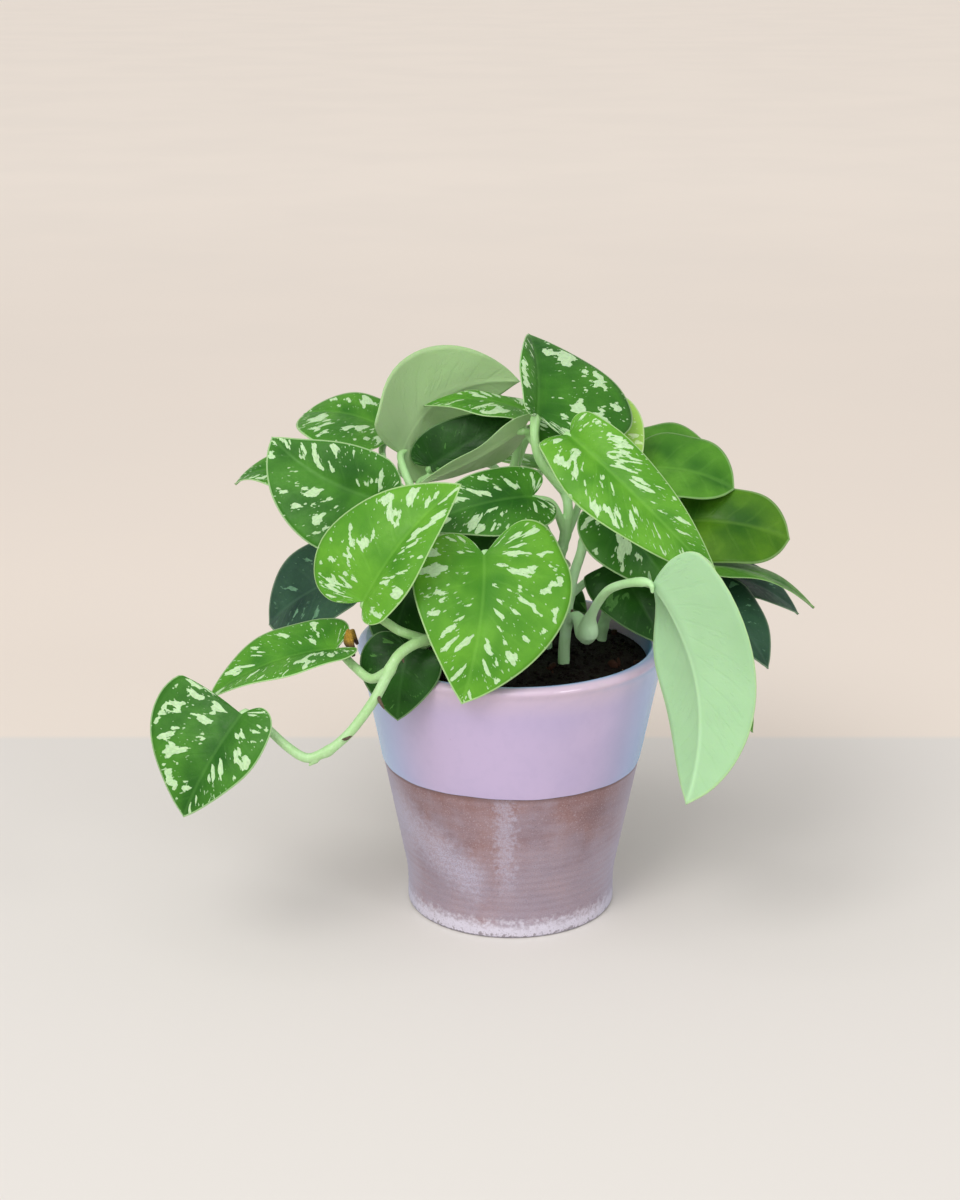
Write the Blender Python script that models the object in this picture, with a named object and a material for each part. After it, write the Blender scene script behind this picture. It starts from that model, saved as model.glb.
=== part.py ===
"""Potted satin pothos: a half-glazed clay pot, soil, stems with their petioles, and heart-shaped leaves.

Metres, +Z up. The origin is the centre of the pot's underside, and the front faces -Y.
Shape numbers of the plant are written in millimetres and multiplied by MM where a mesh is made.
"""

import math

import bmesh
import bpy
import numpy as np

MM = 0.001

# Pot: a thrown cone on a low straight foot, thick rounded rim, glaze over the upper part.
POT_HEIGHT = 120.0
RIM_RADIUS = 66.2
RIM_INNER_RADIUS = 59.5
RIM_ROUND = 2.6
FOOT_RADIUS = 45.5
FOOT_HEIGHT = 13.3
FOOT_CHAMFER = 1.2
FOOT_BLEND = 6.0
GLAZE_EDGE = 68.0
GLAZE_THICKNESS = 0.45
FLOOR_THICKNESS = 9.0
WALL_AT_FLOOR = 7.0
POT_SEGMENTS = 56
DRAIN_COUNT = 3
DRAIN_RADIUS = 4.5
DRAIN_CIRCLE = 24.0

# Soil: it fills the pot to a little under the rim, a little higher in the middle.
SOIL_EDGE_HEIGHT = 112.0
SOIL_CROWN = 3.0
SOIL_BOTTOM = FLOOR_THICKNESS + 0.3
FIT = 0.3
ROOT_DEPTH = 9.0

# Plant tissue.
BLADE_THICKNESS = 1.0
BLADE_ROWS = 12
STEM_SIDES = 8
PETIOLE_SIDES = 6
PETIOLE_STEPS = 9
STEM_STEP = 5.5

# Outline of one side of a flat blade, from the notch round the lobe to the tip.
# Across is in half-widths, along is in blade lengths from the petiole joint.
OUTLINE = (
    (0.00, 0.000),
    (0.16, -0.075),
    (0.40, -0.130),
    (0.68, -0.105),
    (0.90, 0.000),
    (1.00, 0.150),
    (0.98, 0.310),
    (0.86, 0.480),
    (0.66, 0.650),
    (0.42, 0.800),
    (0.20, 0.915),
    (0.07, 0.970),
    (0.00, 1.000),
)
FAN = 0.34

# One stem per entry: points from the soil to its end, and its radius at both ends.
STEMS = {
    "stem_right": (
        [(22, -14, 110), (22, -14, 120), (23, -12, 132), (24, -10, 142), (26, -8, 151),
         (29, -6, 160), (33, 0, 175), (36, 8, 189), (38, 14, 200)],
        (2.7, 1.7),
    ),
    "stem_centre": (
        [(15, 4, 110), (15, 4, 119), (17, 3, 136), (20, 1, 155), (23, -1, 169), (23, 2, 182),
         (17, 6, 193), (12, 9, 204)],
        (2.9, 1.8),
    ),
    "stem_trailing": (
        [(-22, -32, 109), (-22, -32, 118), (-23, -39, 127), (-28, -48, 134), (-35, -56, 138),
         (-42, -62, 137), (-47, -67, 134), (-51, -71, 127), (-55, -74, 120), (-60, -76, 113),
         (-65, -78, 107), (-72, -80, 101), (-79, -81, 97)],
        (2.6, 1.9),
    ),
    "stem_left": (
        [(-18, 2, 110), (-18, 2, 119), (-22, 3, 136), (-28, 4, 154), (-36, 6, 171), (-43, 9, 184)],
        (2.7, 1.8),
    ),
    "stem_back": (
        [(4, 30, 110), (4, 30, 119), (2, 34, 145), (0, 37, 172), (2, 37, 192)],
        (2.6, 1.7),
    ),
    "stem_far_right": (
        [(40, 18, 109), (40, 18, 118), (46, 20, 136), (54, 21, 152), (62, 22, 165)],
        (2.6, 1.7),
    ),
}


def leaf(stem, node, joint, tip, face, left, right, **shape):
    """One leaf: where it leaves its stem (0 soil to 1 end), its blade's ends and the way it faces.

    left and right are the half-widths. shape may hold: fold (degrees each half is raised, left
    and right), furl (further degrees at the base only), lobe (how far each lobe reaches back, 1
    is the outline's own), arch (bow of the midrib towards the face), sweep (bow to the right),
    cup (raised margin), twist (degrees from joint to tip), wave (margin ripple), droop (tip bent
    back), blunt (how far the tip end is broadened), via (points that the petiole passes), petiole
    (its radius) and knee (where the petiole swells, and by how much).
    """
    row = dict(fold=(16, 16), furl=(0, 0), lobe=(1, 1), arch=4, sweep=0, cup=-2, twist=0)
    row.update(wave=1.0, droop=0, blunt=0, via=(), petiole=1.7, knee=(0, 0))
    row.update(stem=stem, node=node, joint=joint, tip=tip, face=face, left=left, right=right)
    row.update(shape)
    return row


LEAVES = {
    "crown": leaf(
        "stem_centre", 0.80, (10, -4, 219), (7, 36, 245), (0.42, -0.62, 0.62), 13, 44,
        fold=(42, 10), lobe=(0.6, 1.8), arch=4, via=[(12, -3, 198), (9, -5, 209)], petiole=2.0,
    ),
    "pale_back": leaf(
        "stem_left", 0.97, (-48, 26, 195), (4, 52, 221), (-0.35, 0.92, 0.25), 28, 30,
        fold=(8, 8), furl=(0, -25), lobe=(1, 0.3), arch=9, cup=-3, sweep=8, via=[(-45, 14, 188)],
    ),
    "far_left": leaf(
        "stem_left", 0.92, (-54, 42, 202), (-92, 62, 204), (-0.05, -0.34, 0.94), 30, 17,
        arch=4, blunt=0.9, via=[(-52, 16, 188), (-56, 32, 195)],
    ),
    "mid_back": leaf(
        "stem_back", 1.0, (5, 30, 213), (-38, 34, 214), (0.0, -0.24, 0.96), 16, 10,
        arch=4, via=[(4, 34, 203)],
    ),
    "mid_pale": leaf(
        "stem_centre", 0.93, (4, 9, 210), (-39, 2, 188), (-0.35, 0.55, 0.75), 12, 25,
        arch=-2, via=[(8, 10, 205)],
    ),
    "left_dark": leaf(
        "stem_left", 0.80, (-55, -8, 183), (-101, 6, 207), (-0.15, -0.82, 0.55), 30, 20,
        fold=(18, 22), arch=5, sweep=-5, via=[(-44, 2, 176)],
    ),
    "left_small": leaf(
        "stem_left", 0.86, (-84, 28, 182), (-121, 38, 178), (-0.05, -0.30, 0.95), 14, 15,
        arch=5, droop=3, via=[(-52, 18, 184), (-70, 24, 184)],
    ),
    "front_left": leaf(
        "stem_trailing", 0.33, (-60, -55, 154), (-21, -38, 198), (-0.42, -0.78, 0.48), 31, 20,
        fold=(18, 34), lobe=(0.9, 0.6), arch=7, cup=-4, via=[(-43, -57, 141), (-50, -57, 145)],
        petiole=2.0,
    ),
    "front_heart": leaf(
        "stem_centre", 0.42, (-12, -41, 169), (-21, -71, 116), (0.10, -0.90, 0.36), 36, 29,
        fold=(10, 10), lobe=(1.9, 1.0), arch=6, cup=-3, sweep=-2, via=[(8, -14, 156), (-4, -30, 164)],
        petiole=2.0,
    ),
    "inner_dark": leaf(
        "stem_centre", 0.66, (8, -9, 185), (-41, -22, 174), (0.05, -0.62, 0.78), 20, 17,
        arch=5, via=[(17, -3, 180)],
    ),
    "front_right": leaf(
        "stem_right", 0.90, (23, -22, 214), (82, -56, 162), (-0.08, -0.72, 0.69), 17, 22,
        fold=(24, 20), furl=(14, 20), lobe=(0.3, 0.1), arch=9, cup=-4, sweep=2,
        via=[(35, 2, 196), (30, -12, 203)], petiole=2.0,
    ),
    "hanging": leaf(
        "stem_right", 0.30, (54, -68, 165), (68, -88, 80), (0.42, 0.86, 0.12), 24, 27,
        fold=(38, 12), furl=(34, 0), lobe=(0.3, 0.4), arch=8, cup=-3, sweep=9, knee=(0.20, 2.6),
        blunt=0.7,
        via=[(27, -17, 135), (31, -22, 129), (32, -26, 137), (35, -34, 147), (39, -45, 156), (46, -59, 163)],
        petiole=1.9,
    ),
    "lime": leaf(
        "stem_centre", 1.0, (34, 24, 208), (55, 12, 196), (0.15, -0.70, 0.70), 19, 16,
        arch=4, via=[(20, 16, 200)],
    ),
    "right_upper": leaf(
        "stem_far_right", 0.98, (56, 26, 188), (95, 14, 182), (0.20, -0.58, 0.78), 20, 19,
        arch=5, blunt=1.3, via=[(61, 26, 176)],
    ),
    "right_rear": leaf(
        "stem_far_right", 1.0, (56, 42, 184), (90, 58, 188), (0.10, -0.45, 0.88), 19, 17,
        arch=5, blunt=1.3, via=[(60, 34, 174)],
    ),
    "right_broad": leaf(
        "stem_far_right", 0.92, (76, 10, 169), (118, 3, 163), (0.12, -0.72, 0.68), 17, 21,
        arch=5, blunt=1.5, via=[(68, 18, 166)],
    ),
    "right_thin": leaf(
        "stem_far_right", 0.78, (76, -8, 154), (127, -14, 138), (-0.10, 0.10, 0.99), 19, 19,
        arch=6, fold=(12, 12), via=[(62, 12, 151)],
    ),
    "right_lower": leaf(
        "stem_far_right", 0.66, (77, 14, 145), (124, 8, 128), (0.05, -0.22, 0.97), 19, 19,
        arch=6, via=[(58, 18, 146)],
    ),
    "right_drop": leaf(
        "stem_far_right", 0.50, (82, -12, 142), (107, -26, 115), (0.50, -0.62, 0.60), 18, 14,
        arch=4, via=[(58, 10, 142)],
    ),
    "low_right": leaf(
        "stem_far_right", 0.42, (82, 14, 118), (106, 6, 74), (0.62, -0.70, 0.30), 11, 18,
        arch=4, via=[(56, 18, 136), (74, 16, 130)],
    ),
    "under_right": leaf(
        "stem_right", 0.62, (41, -4, 178), (68, -17, 145), (-0.15, -0.70, 0.70), 16, 20,
        arch=4, via=[(34, 0, 174)],
    ),
    "soil_right": leaf(
        "stem_right", 0.40, (45, 8, 151), (64, -16, 122), (-0.20, -0.68, 0.70), 20, 18,
        arch=3, lobe=(0.5, 0.1), via=[(32, 7, 143), (38, 11, 146)],
    ),
    "left_blue": leaf(
        "stem_left", 0.40, (-70, 14, 144), (-106, 20, 119), (-0.35, -0.55, 0.75), 23, 25,
        arch=4, blunt=0.8, via=[(-38, 6, 148), (-60, 12, 150)],
    ),
    "left_narrow": leaf(
        "stem_trailing", 0.62, (-72, -53, 133), (-123, -62, 115), (-0.08, -0.25, 0.96), 20, 20,
        fold=(26, 26), arch=5, via=[(-57, -66, 125), (-64, -60, 128)], petiole=1.9,
    ),
    "trail_heart": leaf(
        "stem_trailing", 1.0, (-108, -77, 114), (-131, -89, 75), (-0.30, -0.82, 0.48), 19, 35,
        fold=(20, 12), lobe=(1.0, 0.15), arch=4, cup=-3,
        via=[(-82, -81, 97), (-90, -79, 101), (-99, -75, 108)], petiole=1.9,
    ),
    "rim_dark": leaf(
        "stem_trailing", 0.14, (-43, -49, 132), (-47, -58, 104), (-0.20, -0.90, 0.35), 16, 19,
        fold=(10, 10), lobe=(0.1, 1.4), arch=3, via=[(-30, -38, 131), (-38, -42, 130)],
    ),
    "core_small": leaf(
        "stem_centre", 0.60, (30, 25, 188), (13, 38, 210), (0.0, -0.72, 0.70), 15, 15,
        arch=3, via=[(30, 20, 177)],
    ),
    "mid_dark": leaf(
        "stem_left", 0.90, (-35, 27, 189), (2, 32, 211), (-0.10, -0.93, 0.35), 14, 8,
        fold=(4, 4), lobe=(1, 0.1), arch=2, cup=0, via=[(-40, 22, 182), (-35, 30, 184)],
    ),
    "core_dark": leaf(
        "stem_centre", 0.52, (3, -1, 177), (-24, -8, 145), (-0.05, -0.90, 0.40), 15, 19,
        fold=(6, 6), lobe=(0.5, 0.3), arch=2, via=[(12, 1, 172)],
    ),
    "rim_fill": leaf(
        "stem_left", 0.22, (-42, -22, 151), (-52, -40, 123), (-0.20, -0.84, 0.50), 17, 17,
        fold=(6, 6), lobe=(0.6, 0.6), arch=2, via=[(-32, -8, 146)],
    ),
    "back_low": leaf(
        "stem_back", 0.35, (-14, 72, 152), (-34, 112, 128), (-0.2, 0.45, 0.87), 25, 25,
        arch=6, via=[(-4, 50, 152)],
    ),
    "back_mid": leaf(
        "stem_back", 0.62, (14, 66, 178), (34, 104, 164), (0.1, 0.35, 0.93), 26, 25,
        arch=6, via=[(8, 50, 176)],
    ),
    "back_right": leaf(
        "stem_far_right", 0.55, (62, 58, 150), (86, 92, 132), (0.3, 0.35, 0.88), 23, 24,
        arch=5, via=[(56, 40, 148)],
    ),
    "back_left": leaf(
        "stem_left", 0.62, (-46, 46, 168), (-78, 78, 150), (-0.3, 0.3, 0.9), 24, 24,
        arch=5, via=[(-38, 26, 166)],
    ),
    "back_crown": leaf(
        "stem_back", 0.88, (16, 60, 201), (36, 92, 190), (0.10, 0.42, 0.90), 21, 22,
        arch=5, via=[(7, 48, 196)],
    ),
    "back_fill": leaf(
        "stem_back", 0.74, (-16, 66, 183), (-44, 88, 170), (-0.25, 0.35, 0.90), 20, 22,
        arch=5, via=[(-6, 48, 182)],
    ),
    "back_side": leaf(
        "stem_far_right", 0.82, (78, 46, 164), (112, 66, 150), (0.15, 0.20, 0.97), 20, 21,
        arch=5, via=[(70, 32, 164)],
    ),
    "back_rim": leaf(
        "stem_back", 0.22, (6, 66, 133), (14, 98, 104), (0.05, 0.62, 0.78), 22, 21,
        arch=5, via=[(5, 46, 136)],
    ),
    "back_rim_left": leaf(
        "stem_left", 0.30, (-44, 54, 134), (-62, 80, 104), (-0.35, 0.50, 0.79), 21, 22,
        arch=5, via=[(-30, 28, 142)],
    ),
    "back_rim_right": leaf(
        "stem_far_right", 0.30, (58, 48, 134), (78, 68, 106), (0.40, 0.50, 0.77), 18, 20,
        arch=4, via=[(50, 36, 136)],
    ),
    "soil_back": leaf(
        "stem_back", 0.16, (16, 30, 136), (33, 16, 125), (0.05, -0.55, 0.83), 9, 10,
        arch=3, via=[(9, 32, 133)], petiole=1.4,
    ),
}

GLAZED_CLAY = ((0.57, 0.48, 0.66), 0.25)
SOIL = ((0.03, 0.02, 0.015), 0.95)
STEM_GREEN = ((0.45, 0.72, 0.42), 0.5)
BLADE_GREEN = ((0.12, 0.33, 0.06), 0.5)


def unit(v):
    return v / np.linalg.norm(v)


def spline(points, count):
    """A Catmull-Rom curve through the points, sampled evenly along its length."""
    p = np.asarray(points, float)
    p = np.vstack([2 * p[0] - p[1], p, 2 * p[-1] - p[-2]])
    fine = []
    for i in range(1, len(p) - 2):
        for u in np.linspace(0, 1, 24, endpoint=False):
            a = 2 * p[i]
            b = p[i + 1] - p[i - 1]
            c = 2 * p[i - 1] - 5 * p[i] + 4 * p[i + 1] - p[i + 2]
            d = 3 * p[i] - p[i - 1] - 3 * p[i + 1] + p[i + 2]
            fine.append(0.5 * (a + b * u + c * u * u + d * u ** 3))
    fine.append(p[-2])
    fine = np.array(fine)
    run = np.concatenate([[0], np.cumsum(np.linalg.norm(np.diff(fine, axis=0), axis=1))])
    at = np.linspace(0, run[-1], count)
    return np.stack([np.interp(at, run, fine[:, k]) for k in range(fine.shape[1])], 1)


def material(name, look):
    colour, roughness = look
    made = bpy.data.materials.new(name)
    made.use_nodes = True
    shader = made.node_tree.nodes["Principled BSDF"]
    shader.inputs["Base Color"].default_value = (*colour, 1)
    shader.inputs["Roughness"].default_value = roughness
    return made


def add_object(name, points, faces, look):
    """A mesh object from points in millimetres, welded. The faces come in facing out."""
    mesh = bpy.data.meshes.new(name)
    mesh.from_pydata((np.asarray(points) * MM).tolist(), [], faces)
    work = bmesh.new()
    work.from_mesh(mesh)
    bmesh.ops.remove_doubles(work, verts=work.verts, dist=1e-6)
    bmesh.ops.dissolve_degenerate(work, edges=work.edges, dist=1e-6)
    work.to_mesh(mesh)
    work.free()
    obj = bpy.data.objects.new(name, mesh)
    obj.data.materials.append(material(name + "_material", look))
    bpy.context.scene.collection.objects.link(obj)
    return obj


def lathe(name, profile, segments, look):
    """Turns a profile that starts and ends on the axis into a closed solid."""
    points = []
    faces = []
    for radius, height in profile:
        for k in range(segments):
            a = 2 * math.pi * k / segments
            points.append((radius * math.cos(a), radius * math.sin(a), height))
    for i in range(len(profile) - 1):
        for k in range(segments):
            n = (k + 1) % segments
            low = i * segments
            high = low + segments
            faces.append((low + k, low + n, high + n, high + k))
    return add_object(name, points, faces, look)


def tube(name, path, radii, sides, look):
    """Sweeps a round section along a path, with flat caps."""
    path = np.asarray(path, float)
    tangents = np.gradient(path, axis=0)
    tangents = tangents / np.linalg.norm(tangents, axis=1)[:, None]
    first = np.cross(tangents[0], (0.3, 1.0, 0.2))
    normal = unit(first)
    points = []
    for centre, tangent, radius in zip(path, tangents, radii):
        normal = unit(normal - tangent * np.dot(normal, tangent))
        other = np.cross(tangent, normal)
        for k in range(sides):
            a = 2 * math.pi * k / sides
            points.append(centre + radius * (math.cos(a) * normal + math.sin(a) * other))
    faces = [tuple(range(sides - 1, -1, -1))]
    for i in range(len(path) - 1):
        for k in range(sides):
            n = (k + 1) % sides
            low = i * sides
            faces.append((low + k, low + n, low + sides + n, low + sides + k))
    last = (len(path) - 1) * sides
    faces.append(tuple(range(last, last + sides)))
    return add_object(name, points, faces, look)


def as_cutter(obj):
    obj.hide_render = True
    obj.display_type = "WIRE"


def boolean(target, other, operation):
    cut = target.modifiers.new(other.name, "BOOLEAN")
    cut.operation = operation
    cut.solver = "EXACT"
    cut.object = other
    as_cutter(other)


def blade_frame(row):
    """Joint, length, and the blade's right, forward and face directions."""
    joint = np.array(row["joint"], float)
    chord = np.array(row["tip"], float) - joint
    length = np.linalg.norm(chord)
    ahead = chord / length
    face = np.array(row["face"], float)
    face = unit(face - ahead * np.dot(face, ahead))
    return joint, length, np.cross(ahead, face), ahead, face


def bent(row, across, along):
    """Places flat blade points: across in half-widths (right is +), along in lengths."""
    joint, length, right, ahead, face = blade_frame(row)
    across = np.asarray(across, float)
    along = np.asarray(along, float)
    lobe = np.where(across < 0, row["lobe"][0], row["lobe"][1])
    along = np.where(along < 0, along * lobe, along)
    q = np.clip(along, 0, 1)
    bow = 4 * q * (1 - q)
    slope = 4 * (1 - 2 * q)
    bend = row["arch"] * bow + row["droop"] * q * q * (1 - q) * 4
    bend_slope = row["arch"] * slope + row["droop"] * (2 * q - 3 * q * q) * 4
    under = np.minimum(along, 0) * length
    out = under * 0.35 * math.tanh(4 * row["arch"] / length)
    middle = joint + np.multiply.outer(along * length, ahead) + np.multiply.outer(bend + out, face)
    middle = middle + np.multiply.outer(row["sweep"] * bow, right)
    heading = length * ahead + np.multiply.outer(bend_slope, face)
    heading = heading + np.multiply.outer(row["sweep"] * slope, right)
    heading = heading / np.linalg.norm(heading, axis=-1, keepdims=True)
    up = face - heading * (heading @ face)[..., None]
    up = up / np.linalg.norm(up, axis=-1, keepdims=True)
    side = np.cross(heading, up)
    turn = np.radians(row["twist"]) * (q - 0.35)
    c = np.cos(turn)[..., None]
    s = np.sin(turn)[..., None]
    side, up = side * c + up * s, up * c - side * s
    half = np.where(across < 0, row["left"], row["right"]) * (1 + row["blunt"] * q ** 3)
    reach = np.abs(across)
    fold = np.where(across < 0, row["fold"][0], row["fold"][1])
    furl = np.where(across < 0, row["furl"][0], row["furl"][1])
    fold = np.radians(fold) * (1 - 0.4 * q) + np.radians(furl) * np.exp(-((q / 0.22) ** 2))
    x = across * half * np.cos(fold)
    z = reach * half * np.sin(fold) * (1 - 0.25 * reach)
    z = z + row["cup"] * reach ** 2
    z = z + row["wave"] * reach ** 2 * np.sin(9.0 * along + np.where(across < 0, 0.8, 2.6))
    return middle + side * x[..., None] + up * z[..., None], up


def blade(name, row):
    """A thin closed solid: face and underside lattices joined at the margin."""
    edge = spline([(a, b, 0) for a, b in OUTLINE], BLADE_ROWS + 1)[:, :2]
    edge[0] = OUTLINE[0]
    edge[-1] = OUTLINE[-1]
    t = np.linspace(0, 1, BLADE_ROWS + 1)
    root = np.clip((t - FAN) / (1 - FAN), 0, 1) ** 0.9
    steps = np.array([0.0, 0.55, 1.0])
    points = []
    faces = []
    for sign in (-1, 1):
        across = np.outer(edge[:, 0], steps) * sign
        along = root[:, None] + np.outer(edge[:, 1] - root, steps)
        place, up = bent(row, across, along)
        thick = BLADE_THICKNESS * (1 - 0.45 * steps)[None, :, None]
        start = len(points)
        count = (BLADE_ROWS + 1) * 3
        points.extend((place + up * thick / 2).reshape(-1, 3))
        points.extend((place - up * thick / 2).reshape(-1, 3))
        for i in range(BLADE_ROWS):
            for j in range(2):
                a = start + i * 3 + j
                quad = (a, a + 1, a + 4, a + 3)
                low = tuple(v + count for v in quad)
                faces.append(quad if sign > 0 else quad[::-1])
                faces.append(low[::-1] if sign > 0 else low)
            a = start + i * 3 + 2
            wall = (a, a + count, a + count + 3, a + 3)
            faces.append(wall if sign > 0 else wall[::-1])
    return add_object("leaf_" + name, points, faces, BLADE_GREEN)


def petiole_path(row, stem_path):
    """From inside the stem, by its own waypoints, to just under the blade's joint."""
    start = stem_path[min(int(row["node"] * (len(stem_path) - 1)), len(stem_path) - 2)]
    joint, length, right, ahead, face = blade_frame(row)
    end = joint - face * 2.6 - ahead * 1.2
    steps = PETIOLE_STEPS + 5 * (len(row["via"]) > 4)
    return spline([start, *row["via"], end], steps)


def pot_profile():
    """Radius and height from the underside's centre, up the outside, over the rim and down inside."""
    rise = POT_HEIGHT - FOOT_HEIGHT
    slope = (RIM_RADIUS - FOOT_RADIUS) / rise
    profile = [(0, 0), (FOOT_RADIUS - FOOT_CHAMFER, 0), (FOOT_RADIUS, FOOT_CHAMFER)]
    profile.append((FOOT_RADIUS - 0.2, FOOT_HEIGHT - FOOT_BLEND))
    for k in range(1, 4):
        u = k / 3
        height = FOOT_HEIGHT - FOOT_BLEND + 2 * FOOT_BLEND * u
        profile.append((FOOT_RADIUS + slope * FOOT_BLEND * u * u, height))
    edge = FOOT_RADIUS + slope * (GLAZE_EDGE - FOOT_HEIGHT)
    profile.append((edge - GLAZE_THICKNESS, GLAZE_EDGE - 0.2))
    profile.append((edge - 0.05, GLAZE_EDGE + 0.4))
    for k in range(0, 7):
        a = math.pi * k / 6
        mid = (RIM_RADIUS + RIM_INNER_RADIUS) / 2
        half = (RIM_RADIUS - RIM_INNER_RADIUS) / 2
        profile.append((mid + half * math.cos(a), POT_HEIGHT - RIM_ROUND + RIM_ROUND * math.sin(a)))
    inner = FOOT_RADIUS - WALL_AT_FLOOR
    profile.append((inner + 1.5, FLOOR_THICKNESS + 3))
    profile.append((inner - 1.5, FLOOR_THICKNESS))
    profile.append((0, FLOOR_THICKNESS))
    return profile


def cavity_radius(height):
    low = FOOT_RADIUS - WALL_AT_FLOOR + 1.5
    u = (height - FLOOR_THICKNESS - 3) / (POT_HEIGHT - RIM_ROUND - FLOOR_THICKNESS - 3)
    return low + (RIM_INNER_RADIUS - low) * u


def soil_profile():
    top = SOIL_EDGE_HEIGHT
    profile = [(0, SOIL_BOTTOM), (FOOT_RADIUS - WALL_AT_FLOOR - 2.0, SOIL_BOTTOM)]
    profile.append((cavity_radius(FLOOR_THICKNESS + 3.2) - FIT - 0.2, FLOOR_THICKNESS + 3.2))
    profile.append((cavity_radius(top) - FIT - 0.2, top))
    for u in (0.8, 0.5, 0.2, 0.0):
        profile.append((cavity_radius(top) * u, top + SOIL_CROWN * (1 - u * u)))
    return profile


def build_pot():
    pot = lathe("pot", pot_profile(), POT_SEGMENTS, GLAZED_CLAY)
    for k in range(DRAIN_COUNT):
        a = math.pi / 2 + 2 * math.pi * k / DRAIN_COUNT
        x = DRAIN_CIRCLE * math.cos(a)
        y = DRAIN_CIRCLE * math.sin(a)
        radii = [DRAIN_RADIUS, DRAIN_RADIUS]
        path = [(x, y, -3), (x, y, FLOOR_THICKNESS + 3)]
        boolean(pot, tube("drain_cutter_%d" % k, path, radii, 16, GLAZED_CLAY), "DIFFERENCE")


def build_soil_and_stems():
    soil = lathe("soil", soil_profile(), POT_SEGMENTS - 8, SOIL)
    for name, (points, radius) in STEMS.items():
        foot = np.array(points[0], float)
        deep = foot - (0, 0, ROOT_DEPTH)
        span = sum(math.dist(a, b) for a, b in zip(points, points[1:]))
        path = spline([deep, *points], int((span + ROOT_DEPTH) / STEM_STEP))
        path[0] = deep
        radii = np.linspace(radius[0], radius[1], len(path))
        radii[-1] *= 0.6
        stem = tube(name, path, radii, STEM_SIDES, STEM_GREEN)
        hole = [deep - (0, 0, FIT + 0.1), foot + (0, 0, 14)]
        wide = [radius[0] + FIT + 0.5] * 2
        boolean(soil, tube(name + "_hole", hole, wide, 14, SOIL), "DIFFERENCE")
        for leaf_name, row in LEAVES.items():
            if row["stem"] != name:
                continue
            way = petiole_path(row, path)
            at = np.linspace(0, 1, len(way))
            thick = row["petiole"] * (1.08 - 0.22 * at)
            thick = thick + row["knee"][1] * np.exp(-((at - row["knee"][0]) / 0.09) ** 2)
            boolean(stem, tube("petiole_" + leaf_name, way, thick, PETIOLE_SIDES, STEM_GREEN), "UNION")


def main():
    for obj in list(bpy.data.objects):
        bpy.data.objects.remove(obj, do_unlink=True)
    build_pot()
    build_soil_and_stems()
    for name, row in LEAVES.items():
        blade(name, row)


main()
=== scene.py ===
# %% [markdown]
# # A potted satin pothos
# This lesson finishes one plant in a half-glazed clay pot: the pot, the soil, six vines with their
# petioles and forty-one heart-shaped leaves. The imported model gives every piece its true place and
# size. Here each rough solid gets a fine mesh that follows the same values, and a finish.
# The plant's numbers are in millimetres, and `MM` turns them into Blender's metres.

import math

import bmesh
import bpy
import numpy as np
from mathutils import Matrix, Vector, noise


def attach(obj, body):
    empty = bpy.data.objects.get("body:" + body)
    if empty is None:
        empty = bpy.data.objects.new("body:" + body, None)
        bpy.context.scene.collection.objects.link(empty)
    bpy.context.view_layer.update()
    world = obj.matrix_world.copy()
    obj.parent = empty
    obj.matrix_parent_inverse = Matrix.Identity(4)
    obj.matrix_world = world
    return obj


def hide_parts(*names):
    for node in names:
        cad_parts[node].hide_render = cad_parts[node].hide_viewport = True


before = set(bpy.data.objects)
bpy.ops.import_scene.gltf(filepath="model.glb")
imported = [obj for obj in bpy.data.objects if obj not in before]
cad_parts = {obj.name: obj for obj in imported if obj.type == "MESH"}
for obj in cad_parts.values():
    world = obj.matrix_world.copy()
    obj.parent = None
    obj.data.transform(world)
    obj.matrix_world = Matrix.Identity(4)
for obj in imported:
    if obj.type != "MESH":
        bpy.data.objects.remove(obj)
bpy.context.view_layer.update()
MM = 0.001
print("nodes:", len(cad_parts))

# %% [markdown]
# ## Camera, floor and light
# A plant on a pale table is lit the way a shop would do it: one broad soft light high in front, and a
# pale surrounding that fills the shadows between the leaves. A smaller, weaker panel from the other side
# puts a short bright glint on the glazed rim. A very broad far light overhead has no falloff, so it
# lights the floor evenly. The eye is a long lens, a little above the plant.

# %% Camera
EYE = Vector((-0.0136, -0.868, 0.414))
EYE_TILT = math.radians(72.3)
LENS = 64.0
NEAR_LIMIT = 0.02

scene = bpy.context.scene
scene.view_settings.view_transform = "Standard"
camera = bpy.data.objects.new("camera", bpy.data.cameras.new("camera"))
camera.location = EYE
camera.rotation_euler = (EYE_TILT, 0, 0)
camera.data.lens = LENS
camera.data.clip_start = NEAR_LIMIT
scene.collection.objects.link(camera)
scene.camera = camera
print("the eye is", round(EYE.length, 3), "m from the foot of the pot")


# %% Colours
def srgb(red, green, blue):
    """A screen colour from 0 to 255 as the linear colour that a shader takes."""
    def linear(value):
        value = value / 255
        return value / 12.92 if value <= 0.04045 else ((value + 0.055) / 1.055) ** 2.4
    return (linear(red), linear(green), linear(blue), 1.0)


# %% Lights
PLANT_MIDDLE = Vector((0, 0, 0.14))


def lamp(name, kind, energy, colour, place, turn, **settings):
    """A lamp at a place, with its Euler angles. settings are further ones of the light itself."""
    light = bpy.data.lights.new(name, kind)
    light.energy = energy
    light.color = colour
    for key, value in settings.items():
        setattr(light, key, value)
    made = bpy.data.objects.new(name, light)
    made.location = place
    made.rotation_euler = turn
    scene.collection.objects.link(made)


def softbox(name, place, wide, high, watts, colour):
    """A light panel at a place, turned towards the plant."""
    turn = (PLANT_MIDDLE - Vector(place)).to_track_quat("-Z", "Y").to_euler()
    lamp(name, "AREA", watts, colour, place, turn, shape="RECTANGLE", size=wide, size_y=high)


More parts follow.
